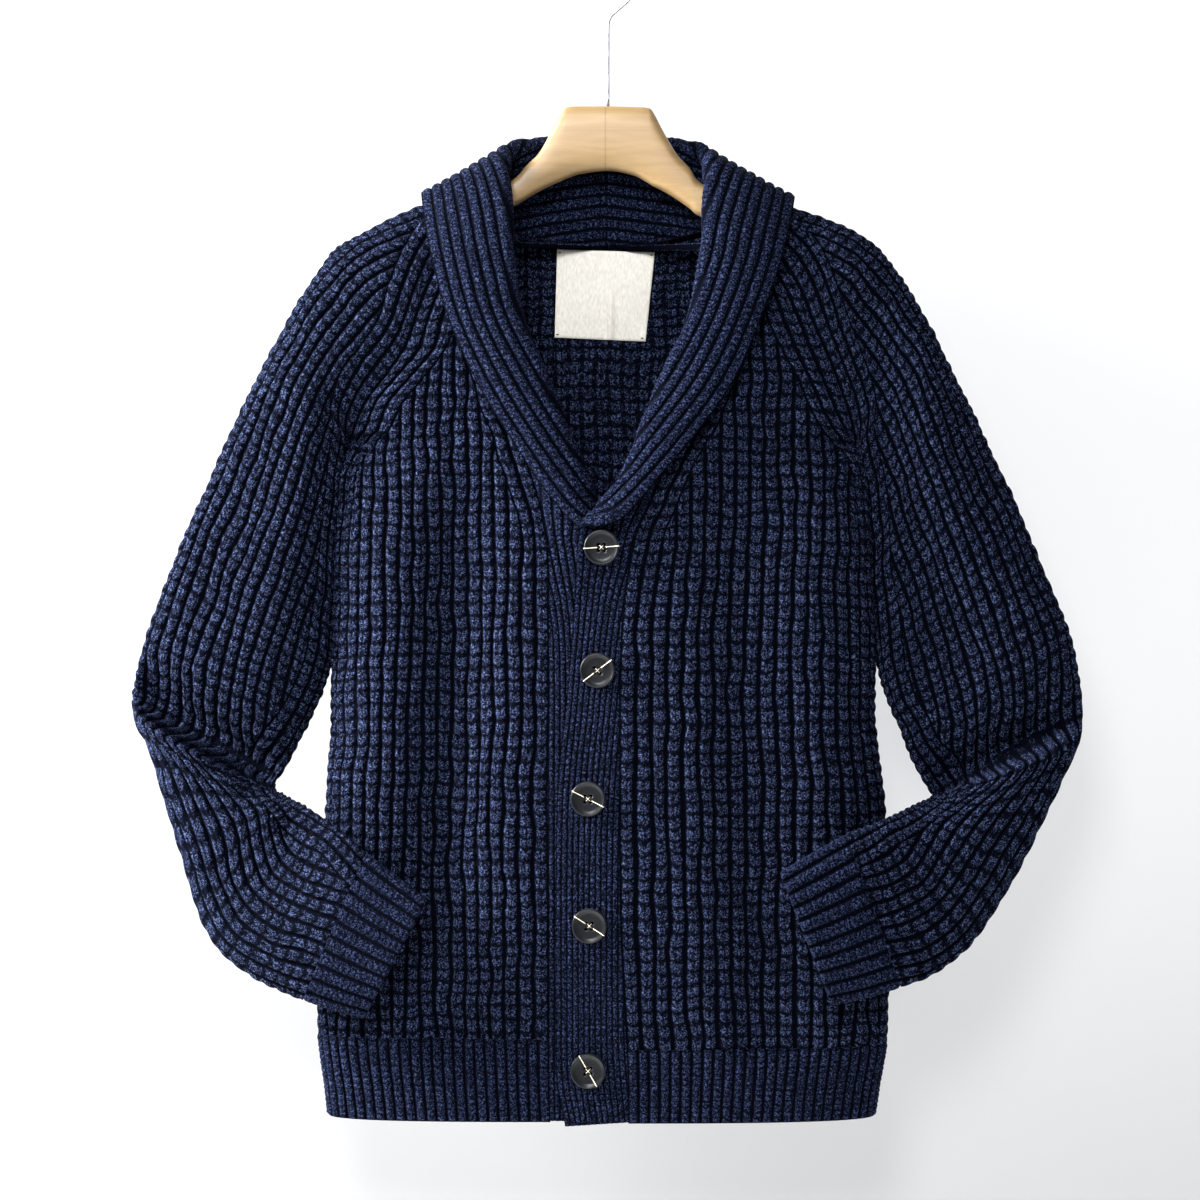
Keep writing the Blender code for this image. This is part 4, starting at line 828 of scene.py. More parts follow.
def lattice(length, middle, middle_cells, pitch, first, last, stations):
    """Arc lengths and column numbers of the lattice's lines along each row.

    first and last cells follow the row's ends; middle gives the lines between them.
    """
    edge = line_shares(first, stations)
    most = np.minimum(first * pitch, length * first / (first + last))
    from_first = np.minimum(edge * pitch, most)
    end = line_shares(last, stations)
    most = np.minimum(last * pitch, length * last / (first + last))
    from_last = (length - np.minimum(end * pitch, most))[:, ::-1]
    low, high = from_first[:, -1:], from_last[:, :1]
    between = np.clip(middle, low, high)
    lines = np.concatenate((from_first, between, from_last), axis=1)
    before_end = first + math.ceil(middle_cells[-1]) + last
    numbers = np.concatenate((edge, first + middle_cells, before_end - end[::-1]))
    return lines, numbers[None, :]


def panel(
    name, grid, normals, lines, numbers, positions, rows_v, seed, made_of, flip,
    inner_relief=None, closed_from=None,
):
    """One knitted piece from its smooth face, with its lattice of stitches raised."""
    reached = arcs_of(grid)
    wander, _ = smooth_noise(60, 60, seed + 50)
    edge = np.minimum(lines, reached[:, -1:] - lines)
    wandering = wander(rows_v / 2.2, lines / 17) * WANDER * ease(edge / 14)
    moved = np.clip(lines + wandering, 0, reached[:, -1:])
    places = along_rows(grid, reached, moved)
    directions = unit(along_rows(normals, reached, moved))
    drift, _ = smooth_noise(60, 60, seed + 90)
    rows_v = rows_v + ROW_DRIFT * drift(rows_v / 3, numbers / 2)
    ditch = SEAM_DITCH * (1 - np.exp(-(((positions - ARMPIT_ROW) / 0.8) ** 2)))[:, None]
    relief = seam_fade(waffle_relief(numbers, rows_v, seed), lines_to_ends(moved, reached), ditch)
    outer = places + directions * relief[:, :, None]
    inner = places - directions * KNIT_WALL
    if inner_relief is not None:
        inner = inner - directions * inner_relief(numbers, rows_v)[:, :, None]
    step = (5, 8) if inner_relief is None else (5, 2)
    return add_cloth(name, lines, outer, inner, numbers, rows_v, flip, step, made_of, closed_from)


def lines_to_ends(moved, reached):
    """Distances such that the first is 0 and the last is the row's length."""
    return np.concatenate((moved[:, :-1], reached[:, -1:]), axis=1)


def upright_lines(grid, reached, reference_row, cells, first, last, stations):
    """Arc lengths where each row crosses columns that stand upright above a row."""
    length = reached[reference_row, -1]
    pitch = length / (first + last + cells)
    numbers = line_shares(cells, stations)
    wanted = first * pitch + numbers * pitch
    x = np.interp(wanted, reached[reference_row], grid[reference_row, :, 0])
    rising = grid[reference_row, -1, 0] > grid[reference_row, 0, 0]
    found = np.empty((len(grid), len(numbers)))
    for row in range(len(grid)):
        if row >= reference_row:
            scale = reached[row, -1] / length
            found[row] = wanted * scale
        else:
            line = grid[row, :, 0] if rising else -grid[row, :, 0]
            line = np.maximum.accumulate(line)
            found[row] = np.interp(x if rising else -x, line, reached[row])
    return found, numbers, pitch


def drop_positions(side, drops):
    """Row positions of the body at drops along its front seam."""
    positions = np.linspace(0, HEM_ROW + 1, 4000)
    return np.interp(drops, -body_edge(side, 1, positions)[:, 2], positions)


def build_front(side, cells, seed, made_of):
    """One front, from under the collar to the top of its hem."""
    top = -body_edge(side, 1, np.array((SEAM_START,)))[0, 2]
    step = CELL_HEIGHT / ROWS_PER_CELL
    drops = np.arange(HEM_TOP[side], top, -step)[::-1]
    positions = drop_positions(side, drops)
    grid = front_surface(side, positions, np.linspace(0, 1, FRONT_STEPS))
    normals = grid_normals(grid, -1 if side == "right" else 1)
    reached = arcs_of(grid)
    normals = turn_edge(normals, reached, seam_normals(side, 1, positions), True, SEAM_BLEND)
    reference = int(np.argmin(np.abs(drops - V_BOTTOM)))
    middle, numbers, pitch = upright_lines(
        grid, reached, reference, cells, RAGLAN_CELLS, LAPEL_CELLS, STATIONS
    )
    scale = np.where(np.arange(len(grid)) > reference, reached[:, -1] / reached[reference, -1], 1.0)
    lines, numbers = lattice(
        reached[:, -1:], middle, numbers, (pitch * scale)[:, None], RAGLAN_CELLS, LAPEL_CELLS, STATIONS
    )
    rows_v = (np.arange(len(grid)) / ROWS_PER_CELL)[:, None]
    return panel(
        f"front_{side}_knit", grid, normals, lines, numbers, positions, rows_v, seed, made_of,
        side == "right",
    )


def build_back(cells, seed, made_of):
    """The back, in one piece from side seam to side seam."""
    top = -body_edge("right", -1, np.array((SEAM_START,)))[0, 2]
    bottom = -body_edge("right", -1, np.array((float(HEM_ROW),)))[0, 2]
    step = CELL_HEIGHT / BACK_ROWS_PER_CELL
    drops = np.arange(bottom, top, -step)[::-1]
    fine = np.linspace(0, HEM_ROW, BACK_FINE)
    positions = np.interp(drops, -body_edge("right", -1, fine)[:, 2], fine)
    grid = back_surface(positions, np.linspace(0, 2, BACK_STEPS))
    normals = grid_normals(grid, 1)
    reached = arcs_of(grid)
    normals = turn_edge(normals, reached, seam_normals("right", -1, positions), True, SEAM_BLEND)
    normals = turn_edge(normals, reached, seam_normals("left", -1, positions), False, SEAM_BLEND)
    reference = int(np.argmin(np.abs(positions - ARMPIT_ROW)))
    middle, numbers, pitch = upright_lines(
        grid, reached, reference, cells, RAGLAN_CELLS, RAGLAN_CELLS, BACK_STATIONS
    )
    scale = np.where(np.arange(len(grid)) > reference, reached[:, -1] / reached[reference, -1], 1.0)
    lines, numbers = lattice(
        reached[:, -1:], middle, numbers, (pitch * scale)[:, None],
        RAGLAN_CELLS, RAGLAN_CELLS, BACK_STATIONS,
    )
    rows_v = (np.arange(len(grid)) / BACK_ROWS_PER_CELL)[:, None]

    def inside_ribs(u, v):
        """The knit's wrong side, which shows through the neck: plain upright ribs."""
        return INSIDE_RIB * (0.5 - 0.5 * np.cos(2 * math.pi * u)) - INSIDE_RIB + 0 * v

    return panel(
        "back_knit", grid, normals, lines, numbers, positions, rows_v, seed, made_of, False, inside_ribs
    )


def build_sleeve(side, seed, made_of):
    """A raglan sleeve, from the neck to the top of its cuff, closed to a tube at the armpit."""
    rows = SLEEVES[side]
    fine = np.linspace(0.02, CUFF_START[side], FINE)
    centre = sleeve_surface(rows, fine, (1.0, 0.0, -1.0)).mean(axis=1)
    length = arcs_along(centre)
    count = int(length[-1] / CELL_HEIGHT * SLEEVE_ROWS_PER_CELL)
    positions = np.interp(np.linspace(0, length[-1], count + 1), length, fine)
    grid = sleeve_surface(rows, positions, np.linspace(1, -1, SLEEVE_STEPS))
    depth = fold_depth(SLEEVE_FOLDS[side], grid[:, :, 0], -grid[:, :, 2])
    turns = np.linspace(1, -1, SLEEVE_STEPS)
    grid[:, :, 1] -= depth * ease(turns * 4) * ease((1 - turns) * 4)
    normals = grid_normals(grid, 1 if side == "right" else -1)
    reached = arcs_of(grid)
    on_seam = positions <= ARMPIT_ROW
    at_armpit = on_seam & (positions > ARMPIT_ROW - 0.5)
    for first, face in ((True, 1), (False, -1)):
        both = unit(normals[:, 0] + normals[:, -1])
        shared = np.where(on_seam[:, None], seam_normals(side, face, positions), both)
        shared = np.where(at_armpit[:, None], (0.0, 0.0, -1.0), shared)
        normals = turn_edge(normals, reached, unit(shared), first, SEAM_BLEND)
    ridge = reached[:, [SLEEVE_STEPS // 2]]
    half = int(np.ceil((reached[:, -1] / 2).max() / CELL_WIDTH)) + 1
    numbers = line_shares(2 * half, STATIONS)
    middle = ridge + (numbers - half) * CELL_WIDTH
    lines, numbers = lattice(
        reached[:, -1:], middle, numbers, np.full((len(grid), 1), CELL_WIDTH),
        RAGLAN_CELLS, RAGLAN_CELLS, STATIONS,
    )
    rows_v = (np.arange(len(grid)) / SLEEVE_ROWS_PER_CELL)[:, None]
    return panel(
        f"sleeve_{side}_knit", grid, normals, lines, numbers, positions, rows_v, seed, made_of,
        side == "left", closed_from=int(np.argmax(positions >= ARMPIT_ROW)),
    )


def rib_relief(phase, along, height, depth, stitch, seed):
    """Ribs across a face: rounded crests, narrow grooves, and the stitches along them."""
    phase, along = np.broadcast_arrays(phase, along)
    a = phase - np.floor(phase)
    crest = np.sqrt(np.clip(1 - (np.abs(a - 0.5) / 0.44) ** 2.2, 0, 1))
    smooth, _ = smooth_noise(200, 60, seed)
    knot = RIB_KNOT * np.cos(2 * math.pi * along / stitch) * crest
    return mix(-depth, height, crest) + knot + 0.25 * smooth(along / 9.0, phase)


def ribbed_panel(name, grid, normals, phase, along, relief, made_of, flip, wall, step, closed_from=None):
    """A piece with ribs down it, from a smooth grid whose columns lie on its ribs."""
    outer = grid + normals * relief[:, :, None]
    inner = grid - normals * wall
    return add_cloth(name, phase, outer, inner, phase, along, flip, step, made_of, closed_from)


def even_grid(grid, shares):
    """The grid's points at shares of each row's length."""
    reached = arcs_of(grid)
    return along_rows(grid, reached, reached[:, -1:] * np.asarray(shares)[None, :])


def rounded_ends(relief, along, share):
    """The relief of ribs, sunk where they start and end."""
    ends = np.minimum(along, along[-1] - along)
    return mix(-RIB_SINK, relief, ease(ends / EDGE_SOFT + share))


def build_hem(name, surface, ribs, edges, flip, outward, made_of, seed):
    """A ribbed hem, sewn below the front or back whose surface it follows."""
    positions = np.linspace(HEM_ROW + 0.005, HEM_ROW + 1, HEM_ROWS)
    grid = surface(positions)
    numbers = line_shares(ribs, RIB_STATIONS)
    grid = even_grid(grid, numbers / ribs)
    normals = grid_normals(grid, outward)
    reached = arcs_of(grid)
    for first, shared in edges:
        normals = turn_edge(normals, reached, np.tile(shared, (HEM_ROWS, 1)), first, 8.0)
    normals[:, :, 2] = 0
    normals = unit(normals)
    along = (HEM_BOTTOM - HEM_TOP["right"]) * (positions - HEM_ROW)[:, None]
    relief = rib_relief(numbers[None, :], along, *HEM_RIB, HEM_STITCH, seed)
    relief = rounded_ends(seam_fade(relief, reached, 0.6, 2.0), along, 0.25)
    phase, along = np.broadcast_arrays(numbers[None, :], along / HEM_STITCH)
    return ribbed_panel(name, grid, normals, phase, along, relief, made_of, flip, RIB_WALL, (3, 3))


def build_cuff(side, seed, made_of):
    """A ribbed cuff, sewn to the end of its sleeve."""
    rows = SLEEVES[side]
    positions = np.linspace(CUFF_START[side] + 0.01, len(rows) - 1, CUFF_ROWS)
    numbers = line_shares(CUFF_RIBS, RIB_STATIONS)
    grid = even_grid(sleeve_surface(rows, positions, np.linspace(1, -1, SLEEVE_STEPS)), numbers / CUFF_RIBS)
    normals = grid_normals(grid, 1 if side == "right" else -1)
    normals[:, 0] = normals[:, -1] = unit(normals[:, 0] + normals[:, -1])
    along = arcs_along(grid.mean(axis=1))[:, None]
    relief = rounded_ends(rib_relief(numbers[None, :], along, *CUFF_RIB, HEM_STITCH, seed), along, 0.2)
    phase, along = np.broadcast_arrays(numbers[None, :], along / HEM_STITCH)
    return ribbed_panel(
        f"cuff_{side}_rib", grid, normals, phase, along, relief, made_of, side == "left", RIB_WALL, (2, 2), 0
    )


def build_collar(side, seed, made_of):
    """A button band and its half of the shawl collar, ribbed along their length."""
    rows, outward = COLLARS[side], (1 if side == "right" else -1)
    fine = np.linspace(0, len(rows) - 1, FINE)
    path = rows_at(rows, fine)[:, 3:6]
    length = arcs_along(path)
    count = int(length[-1] / COLLAR_ROW_STEP)
    wanted = np.linspace(0, length[-1], count + 1)
    positions = np.interp(wanted, length, fine)
    paths = np.array([collar_path(rows, position, outward) for position in positions])
    reached = arcs_of(paths)
    width = reached[:, -1]
    pitch = np.interp(positions, COLLAR_WIDENS, (BAND_RIB_PITCH, COLLAR_RIB_PITCH))
    ribs = width / pitch
    kernel = np.ones(31) / 31  # evens out how many ribs neighbouring rows have
    ribs = np.convolve(np.pad(ribs, len(kernel) // 2, mode="edge"), kernel, mode="valid")
    most = int(np.ceil(ribs.max()))
    numbers = line_shares(most, RIB_STATIONS)
    from_edge = np.minimum(numbers[None, :] * (width / ribs)[:, None], width[:, None])
    lines = (width[:, None] - from_edge)[:, ::-1]
    grid = along_rows(paths, reached, lines)
    normals = unit(along_rows(grid_normals(paths, outward), reached, lines))
    normals[-1, :, 0] = 0
    normals[-1] = unit(normals[-1])
    grid[-1, :, 0] = 0.06 * outward  # the two halves meet behind the neck
    phase = numbers[None, ::-1]
    along = wanted[:, None]
    strength = np.interp(positions, COLLAR_WIDENS, (0.55, 0.7))[:, None]
    relief = rib_relief(phase, along, *COLLAR_RIB, COLLAR_STITCH, seed) * strength
    back_relief = rib_relief(phase, along, *COLLAR_RIB, COLLAR_STITCH, seed + 1)
    soft = ease(np.minimum(lines, width[:, None] - lines) / EDGE_SOFT)
    relief = mix(-COLLAR_SINK, relief, soft)
    back_relief = mix(-COLLAR_SINK, back_relief, soft)
    outer = grid + normals * relief[:, :, None]
    inner = grid - normals * (COLLAR_WALL + back_relief)[:, :, None]
    return add_cloth(
        f"band_collar_{side}_rib", lines, outer, inner, phase, along / COLLAR_STITCH, side == "left",
        (1, 1), made_of,
    )


def linear(code):
    """An sRGB hex colour in the linear light that shaders use."""
    levels = [int(code[start : start + 2], 16) / 255 for start in (1, 3, 5)]
    return tuple(v / 12.92 if v <= 0.04045 else ((v + 0.055) / 1.055) ** 2.4 for v in levels) + (1.0,)


def add_node(tree, kind, settings=None, links=None):
    """A node with its settings and its sockets, each given a value or joined to another."""
    made = tree.nodes.new(kind)
    for name, value in (settings or {}).items():
        setattr(made, name, value)
    for name, value in (links or {}).items():
        socket = made.inputs[name]
        if isinstance(value, bpy.types.NodeSocket):
            tree.links.new(value, socket)
        else:
            socket.default_value = value
    return made


def new_material(name):
    """A new material, its node tree and its surface shader."""
    made = bpy.data.materials.new(name)
    made.use_nodes = True
    return made, made.node_tree, made.node_tree.nodes["Principled BSDF"]


def per_mm(size):
    """Scale of a pattern whose spots have a size in millimetres, for coordinates in metres."""
    return 1 / (size * MM)


def wool(name, slant, leg_painted_shade, row_painted_shade, bridge_painted_shade, groove_painted_shade, light):
    """Plied lambswool, knitted: quite matte, with raised loops.

    Its fibres mix navy and near-black to a heathered mottle, finer than a stitch, and the
    little light that it gives back is bluish. Its colour also holds painted shade: the
    grooves between columns are drawn near-black, less so where a yarn bridges them, and
    the dip between a stitch's legs and the gaps between rows are drawn darker. "knit"
    coordinates are the reach from a stitch's middle, where 1 is the groove, and the row
    of stitches.
    """
    made, tree, shader = new_material(name)
    knit = add_node(tree, "ShaderNodeUVMap", {"uv_map": "knit"}).outputs["UV"]
    place = add_node(tree, "ShaderNodeTexCoord").outputs["Object"]
    waver = add_node(
        tree, "ShaderNodeTexNoise", None, {"Vector": place, "Scale": per_mm(YARN_WAVER), "Detail": 3.0}
    )
    bent = add_node(
        tree, "ShaderNodeVectorMath", {"operation": "MULTIPLY_ADD"},
        {0: waver.outputs["Color"], 1: (0.4, 0.6, 0.0), 2: knit},
    ).outputs["Vector"]
    reach = add_node(tree, "ShaderNodeSeparateXYZ", None, {"Vector": bent}).outputs["X"]
    turn = add_node(
        tree, "ShaderNodeVectorMath", {"operation": "DOT_PRODUCT"},
        {0: bent, 1: (math.pi * slant, math.pi, 0.0)},
    ).outputs["Value"]
    loop = add_node(tree, "ShaderNodeMath", {"operation": "SINE"}, {0: turn}).outputs[0]
    loop = add_node(tree, "ShaderNodeMath", {"operation": "ABSOLUTE"}, {0: loop}).outputs[0]
    fibre = add_node(
        tree, "ShaderNodeTexNoise", None,
        {"Vector": place, "Scale": per_mm(FIBRE_CLUMP), "Detail": 4.0, "Roughness": 0.8},
    ).outputs["Fac"]
    height = add_node(
        tree, "ShaderNodeMath", {"operation": "MULTIPLY_ADD"}, {0: loop, 1: 0.3, 2: fibre}
    ).outputs[0]
    bump = add_node(
        tree, "ShaderNodeBump", None, {"Strength": 1.0, "Distance": FIBRE_LIFT * MM, "Height": height}
    )
    # Painted shade: the grooves between columns are drawn near-black, and less dark where a yarn bridges
    # them between rows.
    bridged_groove_painted_shade = add_node(
        tree, "ShaderNodeMapRange", None,
        {"Value": loop, "From Min": 0.0, "From Max": 0.75, "To Min": bridge_painted_shade, "To Max": groove_painted_shade},
    ).outputs["Result"]
    groove = add_node(
        tree, "ShaderNodeMapRange", {"interpolation_type": "SMOOTHSTEP"},
        {"Value": reach, "From Min": 0.79, "From Max": 1.12, "To Min": 1.0, "To Max": bridged_groove_painted_shade},
    ).outputs["Result"]
    # Painted shade in the dip between a stitch's two legs, and in the gaps between rows.
    painted_shade_between_legs = add_node(
        tree, "ShaderNodeMapRange", {"interpolation_type": "SMOOTHSTEP"},
        {"Value": reach, "From Min": 0.12, "From Max": 0.42, "To Min": leg_painted_shade, "To Max": 1.0},
    ).outputs["Result"]
    painted_shade_between_rows = add_node(
        tree, "ShaderNodeMapRange", {"interpolation_type": "SMOOTHSTEP"},
        {"Value": loop, "From Min": 0.0, "From Max": 0.7, "To Min": row_painted_shade, "To Max": 1.0},
    ).outputs["Result"]
    heather = add_node(
        tree, "ShaderNodeMapRange", None,
        {"Value": fibre, "From Min": 0.4, "From Max": 0.65, "To Min": 0.06, "To Max": 1.0},
    ).outputs["Result"]
    # The tone is the heathered fibres times all this painted shade, on a ramp from near-black to the yarn's
    # lightest colour.
    tone = add_node(tree, "ShaderNodeMath", {"operation": "MULTIPLY"}, {0: groove, 1: heather}).outputs[0]
    tone = add_node(tree, "ShaderNodeMath", {"operation": "MULTIPLY"}, {0: tone, 1: painted_shade_between_legs}).outputs[0]
    tone = add_node(tree, "ShaderNodeMath", {"operation": "MULTIPLY"}, {0: tone, 1: painted_shade_between_rows}).outputs[0]
    colour = add_node(tree, "ShaderNodeValToRGB", None, {"Fac": tone})
    colour.color_ramp.elements.new(0.45).color = linear("#060814")
    colour.color_ramp.elements[0].color = linear("#010204")
    colour.color_ramp.elements[2].color = light
    tree.links.new(colour.outputs["Color"], shader.inputs["Base Color"])
    tree.links.new(bump.outputs["Normal"], shader.inputs["Normal"])
    shader.inputs["Roughness"].default_value = 0.9
    shader.inputs["Specular IOR Level"].default_value = 0.06
    shader.inputs["Specular Tint"].default_value = linear("#aab4ff")
    return made


def mottled(name, spots, low, high, roughness, metallic=0.0, bump=0.0):
    """A material whose tone and surface vary in spots of a size in mm along x, y and z."""
    made, tree, shader = new_material(name)
    place = add_node(tree, "ShaderNodeTexCoord").outputs["Object"]
    scale = tuple(per_mm(size) for size in spots)
    along = add_node(tree, "ShaderNodeMapping", None, {"Vector": place, "Scale": scale}).outputs["Vector"]
    noise = add_node(tree, "ShaderNodeTexNoise", None, {"Vector": along, "Scale": 1.0, "Detail": 3.0})
    colour = add_node(tree, "ShaderNodeValToRGB", None, {"Fac": noise.outputs["Fac"]})
    colour.color_ramp.elements[0].position = 0.3
    colour.color_ramp.elements[0].color = linear(low)
    colour.color_ramp.elements[1].position = 0.7
    colour.color_ramp.elements[1].color = linear(high)
    raised = add_node(
        tree, "ShaderNodeBump", None,
        {"Strength": 0.5, "Distance": bump * MM, "Height": noise.outputs["Fac"]},
    )
    tree.links.new(colour.outputs["Color"], shader.inputs["Base Color"])
    tree.links.new(raised.outputs["Normal"], shader.inputs["Normal"])
    shader.inputs["Roughness"].default_value = roughness
    shader.inputs["Metallic"].default_value = metallic
    return made, tree, shader


def varnished_beech():
    """Pale beech in two halves, glued at the middle, sanded and varnished.

    The grain runs down along each arm in faint darker streaks and short flecks, the glue is
    a thin brown line, and the thin varnish gives a soft, wide highlight.
    """
    made, tree, shader = new_material("varnished_beech")
    place = add_node(tree, "ShaderNodeTexCoord").outputs["Object"]
    moved = add_node(
        tree, "ShaderNodeVectorMath", {"operation": "ADD"}, {0: place, 1: (-GLUE_SEAM_X * MM, 0.0, 0.0)}
    ).outputs["Vector"]
    halves = add_node(tree, "ShaderNodeVectorMath", {"operation": "ABSOLUTE"}, {0: moved}).outputs["Vector"]
    scale = tuple(per_mm(size) for size in BEECH_FIGURE)
    board = add_node(
        tree, "ShaderNodeMapping", None,
        {"Vector": halves, "Rotation": (0.0, BEECH_SLANT, 0.0), "Scale": scale},
    ).outputs["Vector"]
    figure = add_node(tree, "ShaderNodeTexNoise", None, {"Vector": board, "Scale": 1.0, "Detail": 4.0})
    fleck = add_node(
        tree, "ShaderNodeTexNoise", None, {"Vector": board, "Scale": FLECKS_ACROSS_FIGURE, "Detail": 2.0}
    )
    grain = add_node(
        tree, "ShaderNodeMath", {"operation": "MULTIPLY_ADD"},
        {0: fleck.outputs["Fac"], 1: 0.35, 2: figure.outputs["Fac"]},
    ).outputs[0]
    colour = add_node(tree, "ShaderNodeValToRGB", None, {"Fac": grain})
    colour.color_ramp.elements[0].position = 0.42
    colour.color_ramp.elements[0].color = linear("#735a38")
    colour.color_ramp.elements[1].position = 0.86
    colour.color_ramp.elements[1].color = linear("#846d48")
    from_seam = add_node(tree, "ShaderNodeSeparateXYZ", None, {"Vector": halves}).outputs["X"]
    glue = add_node(
        tree, "ShaderNodeMapRange", None,
        {"Value": from_seam, "From Min": GLUE_HALF * MM, "From Max": GLUE_STAIN * MM,
         "To Min": 0.55, "To Max": 0.0},
    ).outputs["Result"]
    joined = add_node(
        tree, "ShaderNodeMix", {"data_type": "RGBA"},
        {0: glue, 6: colour.outputs["Color"], 7: linear("#5a4025")},
    ).outputs[2]
    bump = add_node(
        tree, "ShaderNodeBump", None, {"Strength": 0.3, "Distance": GRAIN_LIFT * MM, "Height": grain}
    )
    tree.links.new(joined, shader.inputs["Base Color"])
    tree.links.new(bump.outputs["Normal"], shader.inputs["Normal"])
    shader.inputs["Roughness"].default_value = 0.5
    shader.inputs["Coat Weight"].default_value = 0.1
    shader.inputs["Coat Roughness"].default_value = 0.3
    return made


def charcoal_resin():
    """Cast polyester resin of a button: cloudy charcoal, half glossy, with faint turned rings.

    The holes are in deep shade, so they are near-black and give back no light. "knit"
    coordinates are millimetres from the button's middle.
    """
    made, tree, shader = new_material("charcoal_polyester_resin")
    place = add_node(tree, "ShaderNodeUVMap", {"uv_map": "knit"}).outputs["UV"]
    radius = add_node(tree, "ShaderNodeVectorMath", {"operation": "LENGTH"}, {0: place}).outputs["Value"]
    lines = add_node(
        tree, "ShaderNodeTexNoise", {"noise_dimensions": "1D"},
        {"W": radius, "Scale": 1 / TURNED_RING, "Detail": 3.0},
    ).outputs["Fac"]
    cloud = add_node(
        tree, "ShaderNodeTexNoise", None, {"Vector": place, "Scale": 1 / RESIN_CLOUD, "Detail": 3.0}
    ).outputs["Fac"]
    tone = add_node(
        tree, "ShaderNodeMath", {"operation": "MULTIPLY_ADD"}, {0: cloud, 1: 0.8, 2: lines}
    ).outputs[0]
    colour = add_node(tree, "ShaderNodeValToRGB", None, {"Fac": tone})
    colour.color_ramp.elements[0].position = 0.55
    colour.color_ramp.elements[0].color = linear("#08090a")
    colour.color_ramp.elements[1].position = 1.0
    colour.color_ramp.elements[1].color = linear("#17191c")
    quarter = add_node(tree, "ShaderNodeVectorMath", {"operation": "ABSOLUTE"}, {0: place}).outputs["Vector"]
    from_hole = add_node(
        tree, "ShaderNodeVectorMath", {"operation": "DISTANCE"},
        {0: quarter, 1: (HOLE_REACH, HOLE_REACH, 0.0)},
    ).outputs["Value"]
    shade = add_node(
        tree, "ShaderNodeMapRange", None,
        {"Value": from_hole, "From Min": HOLE_RADIUS - HOLE_ROUNDING / 2, "From Max": HOLE_RADIUS,
         "To Min": 1.0, "To Max": 0.0},
    ).outputs["Result"]
    holed = add_node(
        tree, "ShaderNodeMix", {"data_type": "RGBA"},
        {0: shade, 6: colour.outputs["Color"], 7: linear("#020202")},
    ).outputs[2]
    bump = add_node(
        tree, "ShaderNodeBump", None, {"Strength": 0.4, "Distance": RING_LIFT * MM, "Height": lines}
    )
    rough = add_node(
        tree, "ShaderNodeMapRange", None, {"Value": shade, "To Min": 0.28, "To Max": 1.0}
    ).outputs["Result"]
    tree.links.new(rough, shader.inputs["Roughness"])
    tree.links.new(shade, shader.inputs["Metallic"])
    tree.links.new(holed, shader.inputs["Base Color"])
    tree.links.new(bump.outputs["Normal"], shader.inputs["Normal"])
    shader.inputs["IOR"].default_value = 1.54
    shader.inputs["Specular IOR Level"].default_value = 0.2
    return made


def woven_satin():
    """Woven satin tape: cream, with a faint upright thread and a soft sheen at its folds."""
    made, _, shader = mottled(
        "cream_satin_tape", SATIN_THREAD, "#bebab1", "#d4d1ca", 0.55, bump=SATIN_LIFT
    )
    shader.inputs["Sheen Weight"].default_value = 0.1
    return made


def add_rings(name, parts, made_of, centre=(0.0, 0.0)):
    """Smooth solids through rings of points, with fans over their ends."""
    points, corners, counts, used = [], [], [], 0
    for rings in parts:
        rings = np.asarray(rings, float)
        count, sides = rings.shape[:2]
        points += [rings.reshape(-1, 3), rings[:1].mean(axis=1), rings[-1:].mean(axis=1)]
        around = np.arange(sides)
        following = (around + 1) % sides
        starts = used + np.arange(count - 1)[:, None] * sides
        quads = np.stack(
            (starts + around, starts + following, starts + following + sides, starts + around + sides)
        )
        last = used + (count - 1) * sides
        first_fan = np.stack((np.full(sides, used + count * sides), used + following, used + around))
        last_fan = np.stack((np.full(sides, used + count * sides + 1), last + around, last + following))
        corners += [quads.reshape(4, -1).T.ravel(), first_fan.T.ravel(), last_fan.T.ravel()]
        counts += [4] * ((count - 1) * sides) + [3] * (2 * sides)
        used += count * sides + 2
    points, corners = np.concatenate(points), np.concatenate(corners)
    coordinates = points[:, (0, 2)] - np.asarray(centre)
    made = add_mesh(name, points, corners, np.array(counts), coordinates[corners], made_of)
    flip_if_inside_out(made)
    return made


def flip_if_inside_out(made):
    """Turn a closed piece's faces outwards, if its signed volume says that they look in."""
    mesh = made.data
    points = np.empty(len(mesh.vertices) * 3, np.float32)
    mesh.vertices.foreach_get("co", points)
    mesh.calc_loop_triangles()
    triangles = np.empty(len(mesh.loop_triangles) * 3, np.int32)
    mesh.loop_triangles.foreach_get("vertices", triangles)
    corner = points.reshape(-1, 3)[triangles.reshape(-1, 3)]
    volume = np.einsum("ij,ij->i", corner[:, 0], np.cross(corner[:, 1], corner[:, 2])).sum()
    if volume < 0:
        mesh.flip_normals()


def tube(path, radius, sides, across):
    """Rings along a path that lies in the plane square to the vector across."""
    path, across = np.asarray(path, float), np.asarray(across, float)
    run = unit(np.gradient(path, axis=0))
    turns = np.linspace(0, 2 * math.pi, sides, endpoint=False)[None, :, None]
    up = np.cross(run, across)[:, None, :]
    return path[:, None, :] + radius * (np.cos(turns) * across + np.sin(turns) * up)


def build_hanger(made_of):
    """The wooden hanger: rounded sections from its table, from end to end."""
    rows = rows_at(HANGER, np.linspace(0, len(HANGER) - 1, HANGER_SECTIONS))
    turns = np.linspace(0, 2 * math.pi, HANGER_SIDES, endpoint=False)
    y = np.sign(np.cos(turns)) * np.abs(np.cos(turns)) ** (2 / HANGER_EDGE)
    z = np.sign(np.sin(turns)) * np.abs(np.sin(turns)) ** (2 / HANGER_EDGE)
    rings = []
    for x, top, bottom, half in rows:
        middle, height = (top + bottom) / 2, (bottom - top) / 2
        rings.append(np.stack((np.full(len(y), x), y * half, z * height - middle), axis=1))
    return add_rings("hanger_wood", [rings], made_of)


